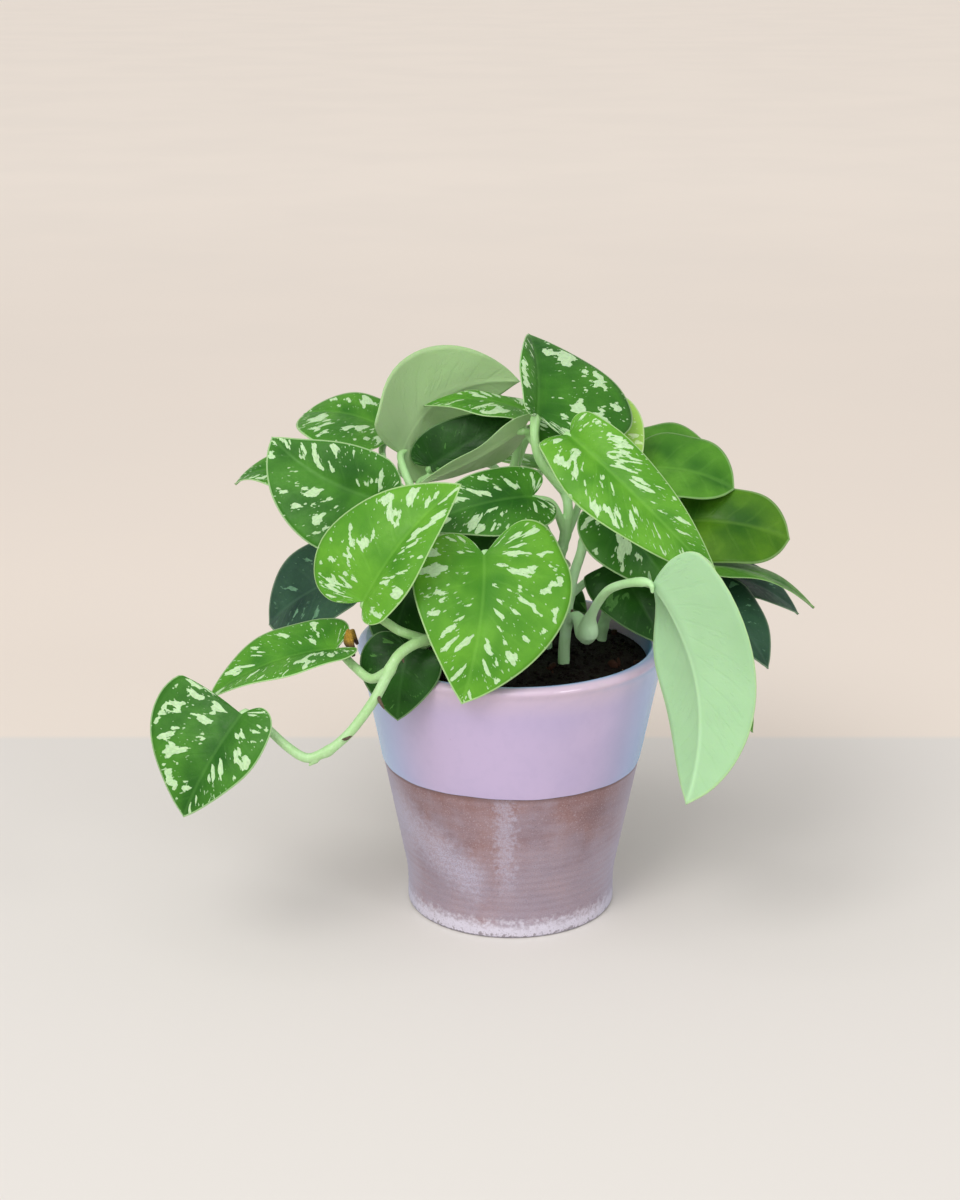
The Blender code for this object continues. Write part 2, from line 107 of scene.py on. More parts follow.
softbox("key_light", (-0.55, -1.05, 1.35), 0.7, 0.6, 8.6, (1.0, 0.985, 0.96))
softbox("fill_light", (0.95, -1.05, 0.95), 0.45, 0.35, 3.6, (0.95, 0.97, 1.0))
SKY_TURN = (math.radians(38), math.radians(-22), 0)
lamp("sky_panel", "SUN", 1.25, (1.0, 0.99, 0.97), (0, 0, 0), SKY_TURN, angle=math.radians(75))

world = bpy.data.worlds.new("pale_room")
world.use_nodes = True
surround = world.node_tree.nodes["Background"]
surround.inputs["Color"].default_value = srgb(238, 236, 236)
surround.inputs["Strength"].default_value = 0.66
scene.world = world


# %% [markdown]
# ## A short way to write shader nodes
# A material is a graph. Written node by node it is long and hard to read, so these functions each add
# one node, wire whatever is handed to them, and return its output. A finish then reads like a formula,
# and the graph it leaves behind is still an ordinary one that can be opened and edited in Blender.

# %% Node helper
class Desk:
    """Holds the node tree that is being written. new_group and new_material put theirs here."""
    tree = None


def feed(socket, value):
    """Wires a socket to an output or gives it a value. A colour may be three numbers from 0 to 255."""
    if isinstance(value, bpy.types.NodeSocket):
        Desk.tree.links.new(value, socket)
    elif value is not None:
        if socket.type == "RGBA" and len(value) == 3:
            value = srgb(*value)
        socket.default_value = value


def wired(kind, inputs, output=0, **settings):
    """Adds a node, feeds its inputs by name or number, and returns one output."""
    made = Desk.tree.nodes.new(kind)
    for key, value in settings.items():
        setattr(made, key, value)
    for key, value in inputs.items():
        feed(made.inputs[key], value)
    return made.outputs[output]


def calc(operation, *values):
    return wired("ShaderNodeMath", dict(enumerate(values)), operation=operation)


def plus(a, b):
    return calc("ADD", a, b)


def less(a, b):
    return calc("SUBTRACT", a, b)


def times(a, b):
    return calc("MULTIPLY", a, b)


def scaled(vector, factors):
    return wired("ShaderNodeVectorMath", {0: vector, 1: factors}, operation="MULTIPLY")


def mix(share, a, b):
    """A colour that goes from a to b with the share."""
    return wired("ShaderNodeMix", {0: share, 6: a, 7: b}, 2, data_type="RGBA")


def layered(colour, *layers):
    """Lays (share, colour) pairs over a colour, one after another."""
    for share, over in layers:
        colour = mix(share, colour, over)
    return colour


def between(share, a, b):
    """A number that goes from a to b with the share."""
    return wired("ShaderNodeMix", {0: share, 2: a, 3: b}, data_type="FLOAT")


def ramp(value, low, high, to_low=0.0, to_high=1.0):
    """Takes low..high to to_low..to_high with soft ends, and holds it there outside."""
    inputs = dict(enumerate((value, low, high, to_low, to_high)))
    return wired("ShaderNodeMapRange", inputs, interpolation_type="SMOOTHSTEP")


def clouds(vector, scale, detail=3.0, rough=0.55, swirl=0.0):
    """Soft noise; detail adds finer octaves, rough is their share, and swirl bends them."""
    inputs = {"Vector": vector, "Scale": scale, "Detail": detail, "Roughness": rough, "Distortion": swirl}
    return wired("ShaderNodeTexNoise", inputs, "Fac")


def cells(vector, scale):
    """The distance to the nearest of many scattered points."""
    return wired("ShaderNodeTexVoronoi", {"Vector": vector, "Scale": scale}, "Distance")


def attribute(name, output="Fac"):
    """A value that the mesh carries."""
    return wired("ShaderNodeAttribute", {}, output, attribute_name=name)


def object_place():
    """The place on the piece, in metres from the foot of the pot."""
    return wired("ShaderNodeTexCoord", {}, "Object")


def facing():
    """0 where a face looks at the eye, 1 where it turns away. Only a material may ask for it."""
    return wired("ShaderNodeLayerWeight", {}, "Facing")


def parts(vector):
    return wired("ShaderNodeSeparateXYZ", {0: vector}).node.outputs


def bump(height, distance, strength=1.0):
    inputs = {"Height": height, "Distance": distance, "Strength": strength}
    return wired("ShaderNodeBump", inputs, "Normal")


def group(tree, **values):
    """Places a node group and returns its outputs; its input Vein place is given as vein_place."""
    inputs = {key.replace("_", " ").capitalize(): value for key, value in values.items()}
    return wired("ShaderNodeGroup", inputs, node_tree=tree).node.outputs


def new_group(name, vector, numbers, results):
    """Starts a node group that takes one vector and some numbers; returns its two sets of sockets."""
    Desk.tree = bpy.data.node_groups.new(name, "ShaderNodeTree")
    interface = Desk.tree.interface
    interface.new_socket(name=vector, in_out="INPUT", socket_type="NodeSocketVector")
    for way, names in (("INPUT", numbers), ("OUTPUT", results)):
        for value in names:
            interface.new_socket(name=value, in_out=way, socket_type="NodeSocketFloat")
    return Desk.tree.nodes.new("NodeGroupInput").outputs, Desk.tree.nodes.new("NodeGroupOutput").inputs


def new_material(name):
    """Starts a material, which finished() completes."""
    material = bpy.data.materials.new(name)
    material.use_nodes = True
    Desk.tree = material.node_tree
    return material


def finished(material, colour, roughness, normal=None, **others):
    """Feeds the Principled shader; its input Sheen Weight is given as sheen_weight."""
    shader = material.node_tree.nodes["Principled BSDF"].inputs
    feed(shader["Base Color"], colour)
    feed(shader["Roughness"], roughness)
    feed(shader["Normal"], normal)
    for key, value in others.items():
        feed(shader[key.replace("_", " ").title().replace("Ior", "IOR")], value)
    return material


print("helpers:", wired.__name__, new_group.__name__, new_material.__name__, finished.__name__)

# %% [markdown]
# ### Floor
# The floor is a plain pale board. It isn't part of the plant. A faint
# mottling keeps it from looking like a flat sheet of one colour. A warmer tone lies behind the plant and
# grows paler with distance, so that the floor passes for a wall there.

# %% Floor
FLOOR_HALF = 16.0
FLOOR_LEVEL = -0.0002
FLOOR_TURN = 0.19


def build_floor():
    mesh = bpy.data.meshes.new("floor")
    flat = [(-1, -1), (1, -1), (1, 1), (-1, 1)]
    corners = [(x * FLOOR_HALF, y * FLOOR_HALF, FLOOR_LEVEL) for x, y in flat]
    mesh.from_pydata(corners, [], [(0, 1, 2, 3)])
    material = new_material("floor_board")
    place = object_place()
    back = parts(place)[1]
    behind = ramp(back, FLOOR_TURN - 0.004, FLOOR_TURN + 0.004)
    far = ramp(back, 0.2, 3.0)
    wall = mix(far, (233, 222, 211), (248, 238, 227))
    tone = mix(behind, (221, 217, 212), wall)
    cloud = ramp(clouds(place, 3.0), 0.3, 0.7, 0.0, 0.10)
    colour = mix(cloud, tone, (220, 214, 207))
    mesh.materials.append(finished(material, colour, 0.9, specular_ior_level=0.1))
    floor = bpy.data.objects.new("floor", mesh)
    scene.collection.objects.link(floor)


build_floor()
print("floor, m across:", FLOOR_HALF * 2)

# %% [markdown]
# ## Effects shared by several finishes
# **Mottle** is the slow change of tone that every natural surface has. **Silver splashes** are the marks
# of a satin pothos: air under the leaf's skin makes ragged, silvery patches that follow the side veins
# and stay off the midrib. **Leaf lines** gives the midrib, the side veins and the pale margin. They are
# node groups, so that every leaf tone uses the same effect with values of its own. The patterns are laid
# out in the leaf's own directions (along a vein, and from vein to vein), which the leaf meshes carry.

# %% Mottle group
def make_mottle():
    """Two tones of change for a finish: slow clouds of about Size metres, and a fine one."""
    given, out = new_group("Mottle", "Place", ("Size",), ("Slow", "Fine"))
    inputs = {0: given["Place"], "Scale": calc("DIVIDE", 1.0, given["Size"])}
    place = wired("ShaderNodeVectorMath", inputs, operation="SCALE")
    slow = clouds(place, 1.0, 2.0, 0.5, 0.3)
    fine = clouds(place, 9.0, 3.0, 0.6)
    feed(out["Slow"], ramp(slow, 0.3, 0.7))
    feed(out["Fine"], ramp(fine, 0.3, 0.7))
    return Desk.tree


mottle = make_mottle()
print("group:", mottle.name)


# %% Silver splash group
SPLASH_LIMIT = 0.668
COVER_STEP = 0.155
FLECK_LIMIT = 0.690


def make_splashes():
    """Vein place is (mm along a side vein, mm from vein to vein, a number of the leaf's own)."""
    given, out = new_group("Silver splashes", "Vein place", ("Reach", "Cover"), ("Mask", "Shade"))
    place = given["Vein place"]
    patches = clouds(scaled(place, (0.115, 0.25, 1.0)), 1.0, 1.0, 0.5, 0.2)
    streaks = clouds(scaled(place, (0.18, 0.58, 1.0)), 1.0, 1.5, 0.5, 0.25)
    ragged = clouds(scaled(place, (0.65, 1.5, 1.0)), 1.0, 2.0, 0.6, 0.2)
    level = plus(times(patches, 0.60), times(streaks, 0.29))
    level = plus(level, times(ragged, 0.11))
    off_midrib = ramp(given["Reach"], 0.06, 0.30)
    off_margin = ramp(given["Reach"], 0.99, 0.86)
    band = times(off_midrib, off_margin)
    limit = less(SPLASH_LIMIT, times(given["Cover"], COVER_STEP))
    limit = plus(limit, times(less(1.0, band), 0.15))
    splash = ramp(less(level, limit), -0.004, 0.008)
    fleck_level = clouds(scaled(place, (0.42, 1.05, 3.0)), 1.0, 1.0, 0.5)
    flecks = ramp(fleck_level, FLECK_LIMIT, FLECK_LIMIT + 0.015)
    flecks = times(flecks, ramp(given["Reach"], 0.22, 0.5))
    flecks = times(flecks, ramp(given["Cover"], 0.1, 0.5))
    feed(out["Mask"], calc("MAXIMUM", splash, times(flecks, 0.8)))
    feed(out["Shade"], ragged)
    return Desk.tree


splashes = make_splashes()
print("group:", splashes.name)


# %% Leaf line group
def make_lines():
    """Middle is the distance from the midrib and Edge the one from the margin, both in mm."""
    numbers = ("Reach", "Middle", "Edge")
    given, out = new_group("Leaf lines", "Vein place", numbers, ("Midrib", "Side veins", "Margin"))
    feed(out["Midrib"], ramp(given["Middle"], 1.1, 0.1))
    drift = clouds(scaled(given["Vein place"], (0.08, 0.08, 1.0)), 1.0, 1.0)
    across = parts(given["Vein place"])[1]
    wave = plus(times(across, 0.95), times(drift, 2.5))
    vein = ramp(calc("COSINE", wave), 0.80, 1.0)
    inner = times(ramp(given["Reach"], 0.02, 0.2), ramp(given["Reach"], 0.98, 0.6))
    feed(out["Side veins"], times(vein, inner))
    feed(out["Margin"], ramp(given["Edge"], 0.78, 0.40))
    return Desk.tree


lines = make_lines()
print("group:", lines.name)

# %% [markdown]
# ## Leaf finishes
# One leaf has two faces. The upper face is green, satin to the touch, with splashes; the underside is a
# pale mint with the veins faintly drawn. Both come from one material, which reads from the mesh which
# face it is on. A plant holds leaves of several ages, so one function makes each tone: young leaves are
# yellow-green, old ones deep green, and the lowest ones turn bluish. Splashes are cut with a sharp limit
# in the noise, because a soft one would look airbrushed.

# %% Leaf tones
# Each tone: light green, dark green, underside, splash colour, how much of the face is splashed, and
# how clearly its pale margin shows.
SPLASH = (192, 222, 176)
TONES = {
    "young": ((100, 162, 46), (62, 126, 28), (164, 202, 144), SPLASH, 0.72, 0.85),
    "middle": ((86, 148, 42), (46, 108, 26), (160, 196, 144), SPLASH, 0.74, 0.85),
    "deep": ((70, 130, 38), (34, 88, 22), (152, 188, 134), SPLASH, 0.76, 0.85),
    "lime": ((162, 202, 96), (124, 178, 60), (180, 210, 146), (206, 232, 176), 0.55, 0.8),
    "plain": ((92, 150, 46), (42, 98, 22), (150, 188, 132), SPLASH, -2.0, 0.35),
    "olive": ((88, 134, 28), (40, 88, 14), (150, 188, 132), SPLASH, -2.0, 0.35),
    "blue": ((54, 88, 66), (24, 54, 42), (120, 160, 130), (104, 146, 116), 0.34, 0.4),
    # The shade tone is painted shade: the leaf colours made darker for leaves that sit in shadow deep among
    # the others.
    "shade": ((38, 88, 22), (18, 58, 12), (140, 178, 124), (84, 134, 66), 0.34, 0.4),
    "mint": ((112, 168, 60), (60, 120, 34), (164, 204, 158), SPLASH, 0.5, 0.55),
    "sage": ((80, 136, 44), (38, 96, 26), (180, 211, 156), SPLASH, 0.5, 0.8),
}


def shifted(colour, step):
    return tuple(min(255, part + step) for part in colour)


def leaf_material(name, light, dark, under, splash, cover, margin):
    material = new_material("leaf_" + name)
    vein_place = attribute("vein_place", "Vector")
    reach = attribute("reach")
    spots = group(splashes, vein_place=vein_place, reach=reach, cover=cover)
    middle = attribute("middle")
    edge = attribute("edge")
    drawn = group(lines, vein_place=vein_place, reach=reach, middle=middle, edge=edge)
    tone = group(mottle, place=object_place(), size=0.022)
    green = mix(tone["Slow"], dark, light)
    # Lighter towards the margin, darker towards the midrib: partly the leaf's own colour, partly painted
    # shade that the leaves around cast on its middle.
    paler_outward = ramp(reach, 0.25, 0.95, 0.0, 0.40)
    green = mix(paler_outward, green, light)
    pale = shifted(light, 45)
    green = mix(times(drawn["Side veins"], 0.05), green, pale)
    green = mix(times(tone["Fine"], 0.18), green, dark)
    silver = mix(ramp(spots["Shade"], 0.35, 0.7), splash, shifted(splash, -18))
    green = mix(times(spots["Mask"], 0.93), green, silver)
    green = mix(times(drawn["Midrib"], 0.14), green, pale)
    vein_shade = shifted(under, -12)
    below = mix(times(tone["Slow"], 0.4), under, vein_shade)
    below = mix(times(drawn["Side veins"], 0.12), below, vein_shade)
    below = mix(times(drawn["Midrib"], 0.5), below, shifted(under, 22))
    upper = attribute("upper")
    colour = mix(upper, below, green)
    rim = tuple((part * 2 + other) / 3 for part, other in zip((216, 238, 200), light))
    colour = mix(times(drawn["Margin"], margin), colour, rim)
    satin = ramp(tone["Fine"], 0.0, 1.0, 0.36, 0.48)
    relief = plus(times(tone["Fine"], 0.25), times(spots["Mask"], 0.35))
    relief = less(relief, times(drawn["Side veins"], 0.25))
    return finished(
        material, colour, between(spots["Mask"], satin, 0.55), bump(relief, 0.00018),
        subsurface_weight=0.12, subsurface_radius=(0.5, 1.0, 0.15), subsurface_scale=0.0015,
        specular_ior_level=0.16)


leaf_finish = {name: leaf_material(name, *tone) for name, tone in TONES.items()}
print("leaf tones:", ", ".join(leaf_finish))

# %% [markdown]
# ## Stem finish
# A pothos vine is smooth and watery, pale mint near the soil and greener towards its leaves, with faint
# lengthwise streaks. A little light passes through it, which a small subsurface share gives. The vines
# among the leaves sit in their shade, so their pale tone is painted lighter to make up for that shade. The
# vine that hangs over the rim is in the light, so it has tones of its own: darker and a little greener.

# %% Stem material
def stem_material(name, pale, green, low, high):
    material = new_material(name)
    place = object_place()
    tone = group(mottle, place=place, size=0.012)
    up = ramp(parts(place)[2], low, high)
    streak = clouds(scaled(place, (900.0, 900.0, 60.0)), 1.0, 2.0)
    colour = mix(times(up, 0.75), pale, green)
    colour = mix(times(tone["Slow"], 0.35), colour, green)
    colour = mix(ramp(streak, 0.5, 0.75, 0.0, 0.25), colour, (206, 238, 200))
    return finished(
        material, colour, ramp(tone["Fine"], 0.0, 1.0, 0.32, 0.46),
        bump(plus(streak, tone["Fine"]), 0.00008),
        subsurface_weight=0.2, subsurface_radius=(0.6, 1.0, 0.5), subsurface_scale=0.002)


# The inner vines' pale mint is painted lighter against the shade they sit in; the trailing vine's tones are
# the lit copy.
STEM_LOOK = stem_material("vine_skin", (196, 236, 190), (160, 208, 128), 0.12, 0.21)
TRAILING_LOOK = stem_material("trailing_vine_skin", (176, 214, 160), (150, 192, 116), 0.10, 0.16)
print("stem materials:", STEM_LOOK.name, TRAILING_LOOK.name)

# %% [markdown]
# ## The plant's own values
# A pothos grows as a vine: at each node it carries one leaf on its own petiole. So the plant is written
# down as a gardener would describe it: the route of each stem, and for each leaf its tone, the node it
# leaves from, the two ends of its blade, the way it faces and how it is folded and bent. The same values
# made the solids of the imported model, so the fine meshes land exactly in their places.

# %% Values of the plant
# Outline of one side of a flat blade, from the notch round the lobe to the tip.
# Across is in half-widths, along is in blade lengths from the petiole joint.
OUTLINE = (
    (0.00, 0.000), (0.16, -0.075), (0.40, -0.130), (0.68, -0.105), (0.90, 0.000), (1.00, 0.150),
    (0.98, 0.310), (0.86, 0.480), (0.66, 0.650), (0.42, 0.800), (0.20, 0.915), (0.07, 0.970),
    (0.00, 1.000),
)
FAN = 0.34

# One stem per entry: points from the soil to its end, and its radius at both ends.
STEMS = {
    "stem_right": (
        [(22, -14, 110), (22, -14, 120), (23, -12, 132), (24, -10, 142), (26, -8, 151),
         (29, -6, 160), (33, 0, 175), (36, 8, 189), (38, 14, 200)],
        (2.7, 1.7),
    ),
    "stem_centre": (
        [(15, 4, 110), (15, 4, 119), (17, 3, 136), (20, 1, 155), (23, -1, 169), (23, 2, 182),
         (17, 6, 193), (12, 9, 204)],
        (2.9, 1.8),
    ),
    "stem_trailing": (
        [(-22, -32, 109), (-22, -32, 118), (-23, -39, 127), (-28, -48, 134), (-35, -56, 138),
         (-42, -62, 137), (-47, -67, 134), (-51, -71, 127), (-55, -74, 120), (-60, -76, 113),
         (-65, -78, 107), (-72, -80, 101), (-79, -81, 97)],
        (2.6, 1.9),
    ),
    "stem_left": (
        [(-18, 2, 110), (-18, 2, 119), (-22, 3, 136), (-28, 4, 154), (-36, 6, 171), (-43, 9, 184)],
        (2.7, 1.8),
    ),
    "stem_back": (
        [(4, 30, 110), (4, 30, 119), (2, 34, 145), (0, 37, 172), (2, 37, 192)],
        (2.6, 1.7),
    ),
    "stem_far_right": (
        [(40, 18, 109), (40, 18, 118), (46, 20, 136), (54, 21, 152), (62, 22, 165)],
        (2.6, 1.7),
    ),
}


def leaf(tone, stem, node, joint, tip, face, left, right, via, **shape):
    """One leaf: its tone, its stem, where it leaves that (0 soil to 1 end), its blade's ends, the way it
    faces, its half-widths and the points that its petiole passes. shape may hold fold (degrees each half
    is raised, left and right), furl (further degrees at the base), lobe (how far each lobe reaches back,
    1 is the outline's own), arch (bow of the midrib towards the face), sweep (bow to the right), cup
    (raised margin), droop (tip bent back), blunt (how far the tip end is broadened), petiole (its radius)
    and knee (where that swells, by how much).
    """
    row = dict(fold=(16, 16), furl=(0, 0), lobe=(1, 1), arch=4, sweep=0, cup=-2, droop=0, blunt=0)
    row.update(petiole=1.7, knee=(0, 0), tone=tone, stem="stem_" + stem, node=node, joint=joint)
    row.update(tip=tip, face=face, left=left, right=right, via=via, **shape)
    return row


LEAVES = {
    "crown": leaf("deep", "centre", 0.80, (10, -4, 219), (7, 36, 245), (0.42, -0.62, 0.62), 13, 44,
        [(12, -3, 198), (9, -5, 209)], fold=(42, 10), lobe=(0.6, 1.8), petiole=2.0),
    "pale_back": leaf("sage", "left", 0.97, (-48, 26, 195), (4, 52, 221), (-0.35, 0.92, 0.25), 28, 30,
        [(-45, 14, 188)], fold=(8, 8), furl=(0, -25), lobe=(1, 0.3), arch=9, cup=-3, sweep=8),
    "far_left": leaf("middle", "left", 0.92, (-54, 42, 202), (-92, 62, 204), (-0.05, -0.34, 0.94), 30, 17,
        [(-52, 16, 188), (-56, 32, 195)], blunt=0.9),
    "mid_back": leaf("middle", "back", 1.0, (5, 30, 213), (-38, 34, 214), (0.0, -0.24, 0.96), 16, 10,
        [(4, 34, 203)]),
    "mid_pale": leaf("sage", "centre", 0.93, (4, 9, 210), (-39, 2, 188), (-0.35, 0.55, 0.75), 12, 25,
        [(8, 10, 205)], arch=-2),
    "left_dark": leaf("deep", "left", 0.80, (-55, -8, 183), (-101, 6, 207), (-0.15, -0.82, 0.55), 30, 20,
        [(-44, 2, 176)], fold=(18, 22), arch=5, sweep=-5),
    "left_small": leaf("middle", "left", 0.86, (-84, 28, 182), (-121, 38, 178), (-0.05, -0.30, 0.95), 14,
        15, [(-52, 18, 184), (-70, 24, 184)], arch=5, droop=3),
    "front_left": leaf("young", "trailing", 0.33, (-60, -55, 154), (-21, -38, 198), (-0.42, -0.78, 0.48),
        31, 20, [(-43, -57, 141), (-50, -57, 145)], fold=(18, 34), lobe=(0.9, 0.6), arch=7, cup=-4,
        petiole=2.0),
    "front_heart": leaf("young", "centre", 0.42, (-12, -41, 169), (-21, -71, 116), (0.10, -0.90, 0.36), 36,
        29, [(8, -14, 156), (-4, -30, 164)], fold=(10, 10), lobe=(1.9, 1.0), arch=6, cup=-3, sweep=-2,
        petiole=2.0),
    "inner_dark": leaf("deep", "centre", 0.66, (8, -9, 185), (-41, -22, 174), (0.05, -0.62, 0.78), 20, 17,
        [(17, -3, 180)], arch=5),
    "front_right": leaf("young", "right", 0.90, (23, -22, 214), (82, -56, 162), (-0.08, -0.72, 0.69), 17,
        22, [(35, 2, 196), (30, -12, 203)], fold=(24, 20), furl=(14, 20), lobe=(0.3, 0.1), arch=9, cup=-4,
        sweep=2, petiole=2.0),
    "hanging": leaf("mint", "right", 0.30, (54, -68, 165), (68, -88, 80), (0.42, 0.86, 0.12), 24, 27,
        [(27, -17, 135), (31, -22, 129), (32, -26, 137), (35, -34, 147), (39, -45, 156),
         (46, -59, 163)],
        fold=(38, 12), furl=(34, 0), lobe=(0.3, 0.4), arch=8, cup=-3, sweep=9, knee=(0.20, 2.6), blunt=0.7,
        petiole=1.9),
    "lime": leaf("lime", "centre", 1.0, (34, 24, 208), (55, 12, 196), (0.15, -0.70, 0.70), 19, 16,
        [(20, 16, 200)]),
    "right_upper": leaf("plain", "far_right", 0.98, (56, 26, 188), (95, 14, 182), (0.20, -0.58, 0.78), 20,
        19, [(61, 26, 176)], arch=5, blunt=1.3),
    "right_rear": leaf("plain", "far_right", 1.0, (56, 42, 184), (90, 58, 188), (0.10, -0.45, 0.88), 19, 17,
        [(60, 34, 174)], arch=5, blunt=1.3),
    "right_broad": leaf("olive", "far_right", 0.92, (76, 10, 169), (118, 3, 163), (0.12, -0.72, 0.68), 17,
        21, [(68, 18, 166)], arch=5, blunt=1.5),
    "right_thin": leaf("plain", "far_right", 0.78, (76, -8, 154), (127, -14, 138), (-0.10, 0.10, 0.99), 19,
        19, [(62, 12, 151)], arch=6, fold=(12, 12)),
    "right_lower": leaf("blue", "far_right", 0.66, (77, 14, 145), (124, 8, 128), (0.05, -0.22, 0.97), 19,
        19, [(58, 18, 146)], arch=6),
    "right_drop": leaf("blue", "far_right", 0.50, (82, -12, 142), (107, -26, 115), (0.50, -0.62, 0.60), 18,
        14, [(58, 10, 142)]),
    "low_right": leaf("plain", "far_right", 0.42, (82, 14, 118), (106, 6, 74), (0.62, -0.70, 0.30), 11, 18,
        [(56, 18, 136), (74, 16, 130)]),
    "under_right": leaf("deep", "right", 0.62, (41, -4, 178), (68, -17, 145), (-0.15, -0.70, 0.70), 16, 20,
        [(34, 0, 174)]),
    "soil_right": leaf("shade", "right", 0.40, (45, 8, 151), (64, -16, 122), (-0.20, -0.68, 0.70), 20, 18,
        [(32, 7, 143), (38, 11, 146)], arch=3, lobe=(0.5, 0.1)),
    "left_blue": leaf("blue", "left", 0.40, (-70, 14, 144), (-106, 20, 119), (-0.35, -0.55, 0.75), 23, 25,
        [(-38, 6, 148), (-60, 12, 150)], blunt=0.8),
    "left_narrow": leaf("middle", "trailing", 0.62, (-72, -53, 133), (-123, -62, 115), (-0.08, -0.25, 0.96),
        20, 20, [(-57, -66, 125), (-64, -60, 128)], fold=(26, 26), arch=5, petiole=1.9),
    "trail_heart": leaf("deep", "trailing", 1.0, (-108, -77, 114), (-131, -89, 75), (-0.30, -0.82, 0.48),
        19, 35, [(-82, -81, 97), (-90, -79, 101), (-99, -75, 108)], fold=(20, 12), lobe=(1.0, 0.15), cup=-3,
        petiole=1.9),
    "rim_dark": leaf("shade", "trailing", 0.14, (-43, -49, 132), (-47, -58, 104), (-0.20, -0.90, 0.35), 16,
        19, [(-30, -38, 131), (-38, -42, 130)], fold=(10, 10), lobe=(0.1, 1.4), arch=3),
    "core_small": leaf("deep", "centre", 0.60, (30, 25, 188), (13, 38, 210), (0.0, -0.72, 0.70), 15, 15,
        [(30, 20, 177)], arch=3),
    # This leaf fills the dark patch behind pale_back, which is shadow of the leaves in front; its shade
    # tone is painted shade.
    "mid_dark": leaf("shade", "left", 0.90, (-35, 27, 189), (2, 32, 211), (-0.10, -0.93, 0.35), 14, 8,
        [(-40, 22, 182), (-35, 30, 184)], fold=(4, 4), lobe=(1, 0.1), arch=2, cup=0),
    "core_dark": leaf("shade", "centre", 0.52, (3, -1, 177), (-24, -8, 145), (-0.05, -0.90, 0.40), 15, 19,
        [(12, 1, 172)], fold=(6, 6), lobe=(0.5, 0.3), arch=2),
    "rim_fill": leaf("shade", "left", 0.22, (-42, -22, 151), (-52, -40, 123), (-0.20, -0.84, 0.50), 17, 17,
        [(-32, -8, 146)], fold=(6, 6), lobe=(0.6, 0.6), arch=2),
    "back_low": leaf("middle", "back", 0.35, (-14, 72, 152), (-34, 112, 128), (-0.2, 0.45, 0.87), 25, 25,
        [(-4, 50, 152)], arch=6),
    "back_mid": leaf("young", "back", 0.62, (14, 66, 178), (34, 104, 164), (0.1, 0.35, 0.93), 26, 25,
        [(8, 50, 176)], arch=6),
    "back_right": leaf("deep", "far_right", 0.55, (62, 58, 150), (86, 92, 132), (0.3, 0.35, 0.88), 23, 24,
        [(56, 40, 148)], arch=5),
    "back_left": leaf("middle", "left", 0.62, (-46, 46, 168), (-78, 78, 150), (-0.3, 0.3, 0.9), 24, 24,
        [(-38, 26, 166)], arch=5),
    "back_crown": leaf("young", "back", 0.88, (16, 60, 201), (36, 92, 190), (0.10, 0.42, 0.90), 21, 22,
        [(7, 48, 196)], arch=5),
    "back_fill": leaf("deep", "back", 0.74, (-16, 66, 183), (-44, 88, 170), (-0.25, 0.35, 0.90), 20, 22,
        [(-6, 48, 182)], arch=5),
    "back_side": leaf("middle", "far_right", 0.82, (78, 46, 164), (112, 66, 150), (0.15, 0.20, 0.97), 20,
        21, [(70, 32, 164)], arch=5),
    "back_rim": leaf("deep", "back", 0.22, (6, 66, 133), (14, 98, 104), (0.05, 0.62, 0.78), 22, 21,
        [(5, 46, 136)], arch=5),
    "back_rim_left": leaf("middle", "left", 0.30, (-44, 54, 134), (-62, 80, 104), (-0.35, 0.50, 0.79), 21,
        22, [(-30, 28, 142)], arch=5),
    "back_rim_right": leaf("young", "far_right", 0.30, (58, 48, 134), (78, 68, 106), (0.40, 0.50, 0.77), 18,
        20, [(50, 36, 136)]),
    "soil_back": leaf("shade", "back", 0.16, (16, 30, 136), (33, 16, 125), (0.05, -0.55, 0.83), 9, 10,
        [(9, 32, 133)], arch=3, petiole=1.4),
}


print("stems:", len(STEMS), "leaves:", len(LEAVES))


# %% Curve and blade formulas
MARGIN_RIPPLE = 1.0


def unit(v):
    return v / np.linalg.norm(v)


def spline(points, count):
    """A Catmull-Rom curve through the points, sampled evenly along its length."""
    p = np.asarray(points, float)
    p = np.vstack([2 * p[0] - p[1], p, 2 * p[-1] - p[-2]])
    fine = []
    for i in range(1, len(p) - 2):
        for u in np.linspace(0, 1, 24, endpoint=False):
            a = 2 * p[i]
            b = p[i + 1] - p[i - 1]
            c = 2 * p[i - 1] - 5 * p[i] + 4 * p[i + 1] - p[i + 2]
            d = 3 * p[i] - p[i - 1] - 3 * p[i + 1] + p[i + 2]
            fine.append(0.5 * (a + b * u + c * u * u + d * u ** 3))
    fine.append(p[-2])
    fine = np.array(fine)
    run = np.concatenate([[0], np.cumsum(np.linalg.norm(np.diff(fine, axis=0), axis=1))])
    at = np.linspace(0, run[-1], count)
    return np.stack([np.interp(at, run, fine[:, k]) for k in range(fine.shape[1])], 1)


def blade_frame(row):
    """Joint, length, and the blade's right, forward and face directions."""
    joint = np.array(row["joint"], float)
    chord = np.array(row["tip"], float) - joint
    length = np.linalg.norm(chord)
    ahead = chord / length
    face = np.array(row["face"], float)
    face = unit(face - ahead * np.dot(face, ahead))
    return joint, length, np.cross(ahead, face), ahead, face


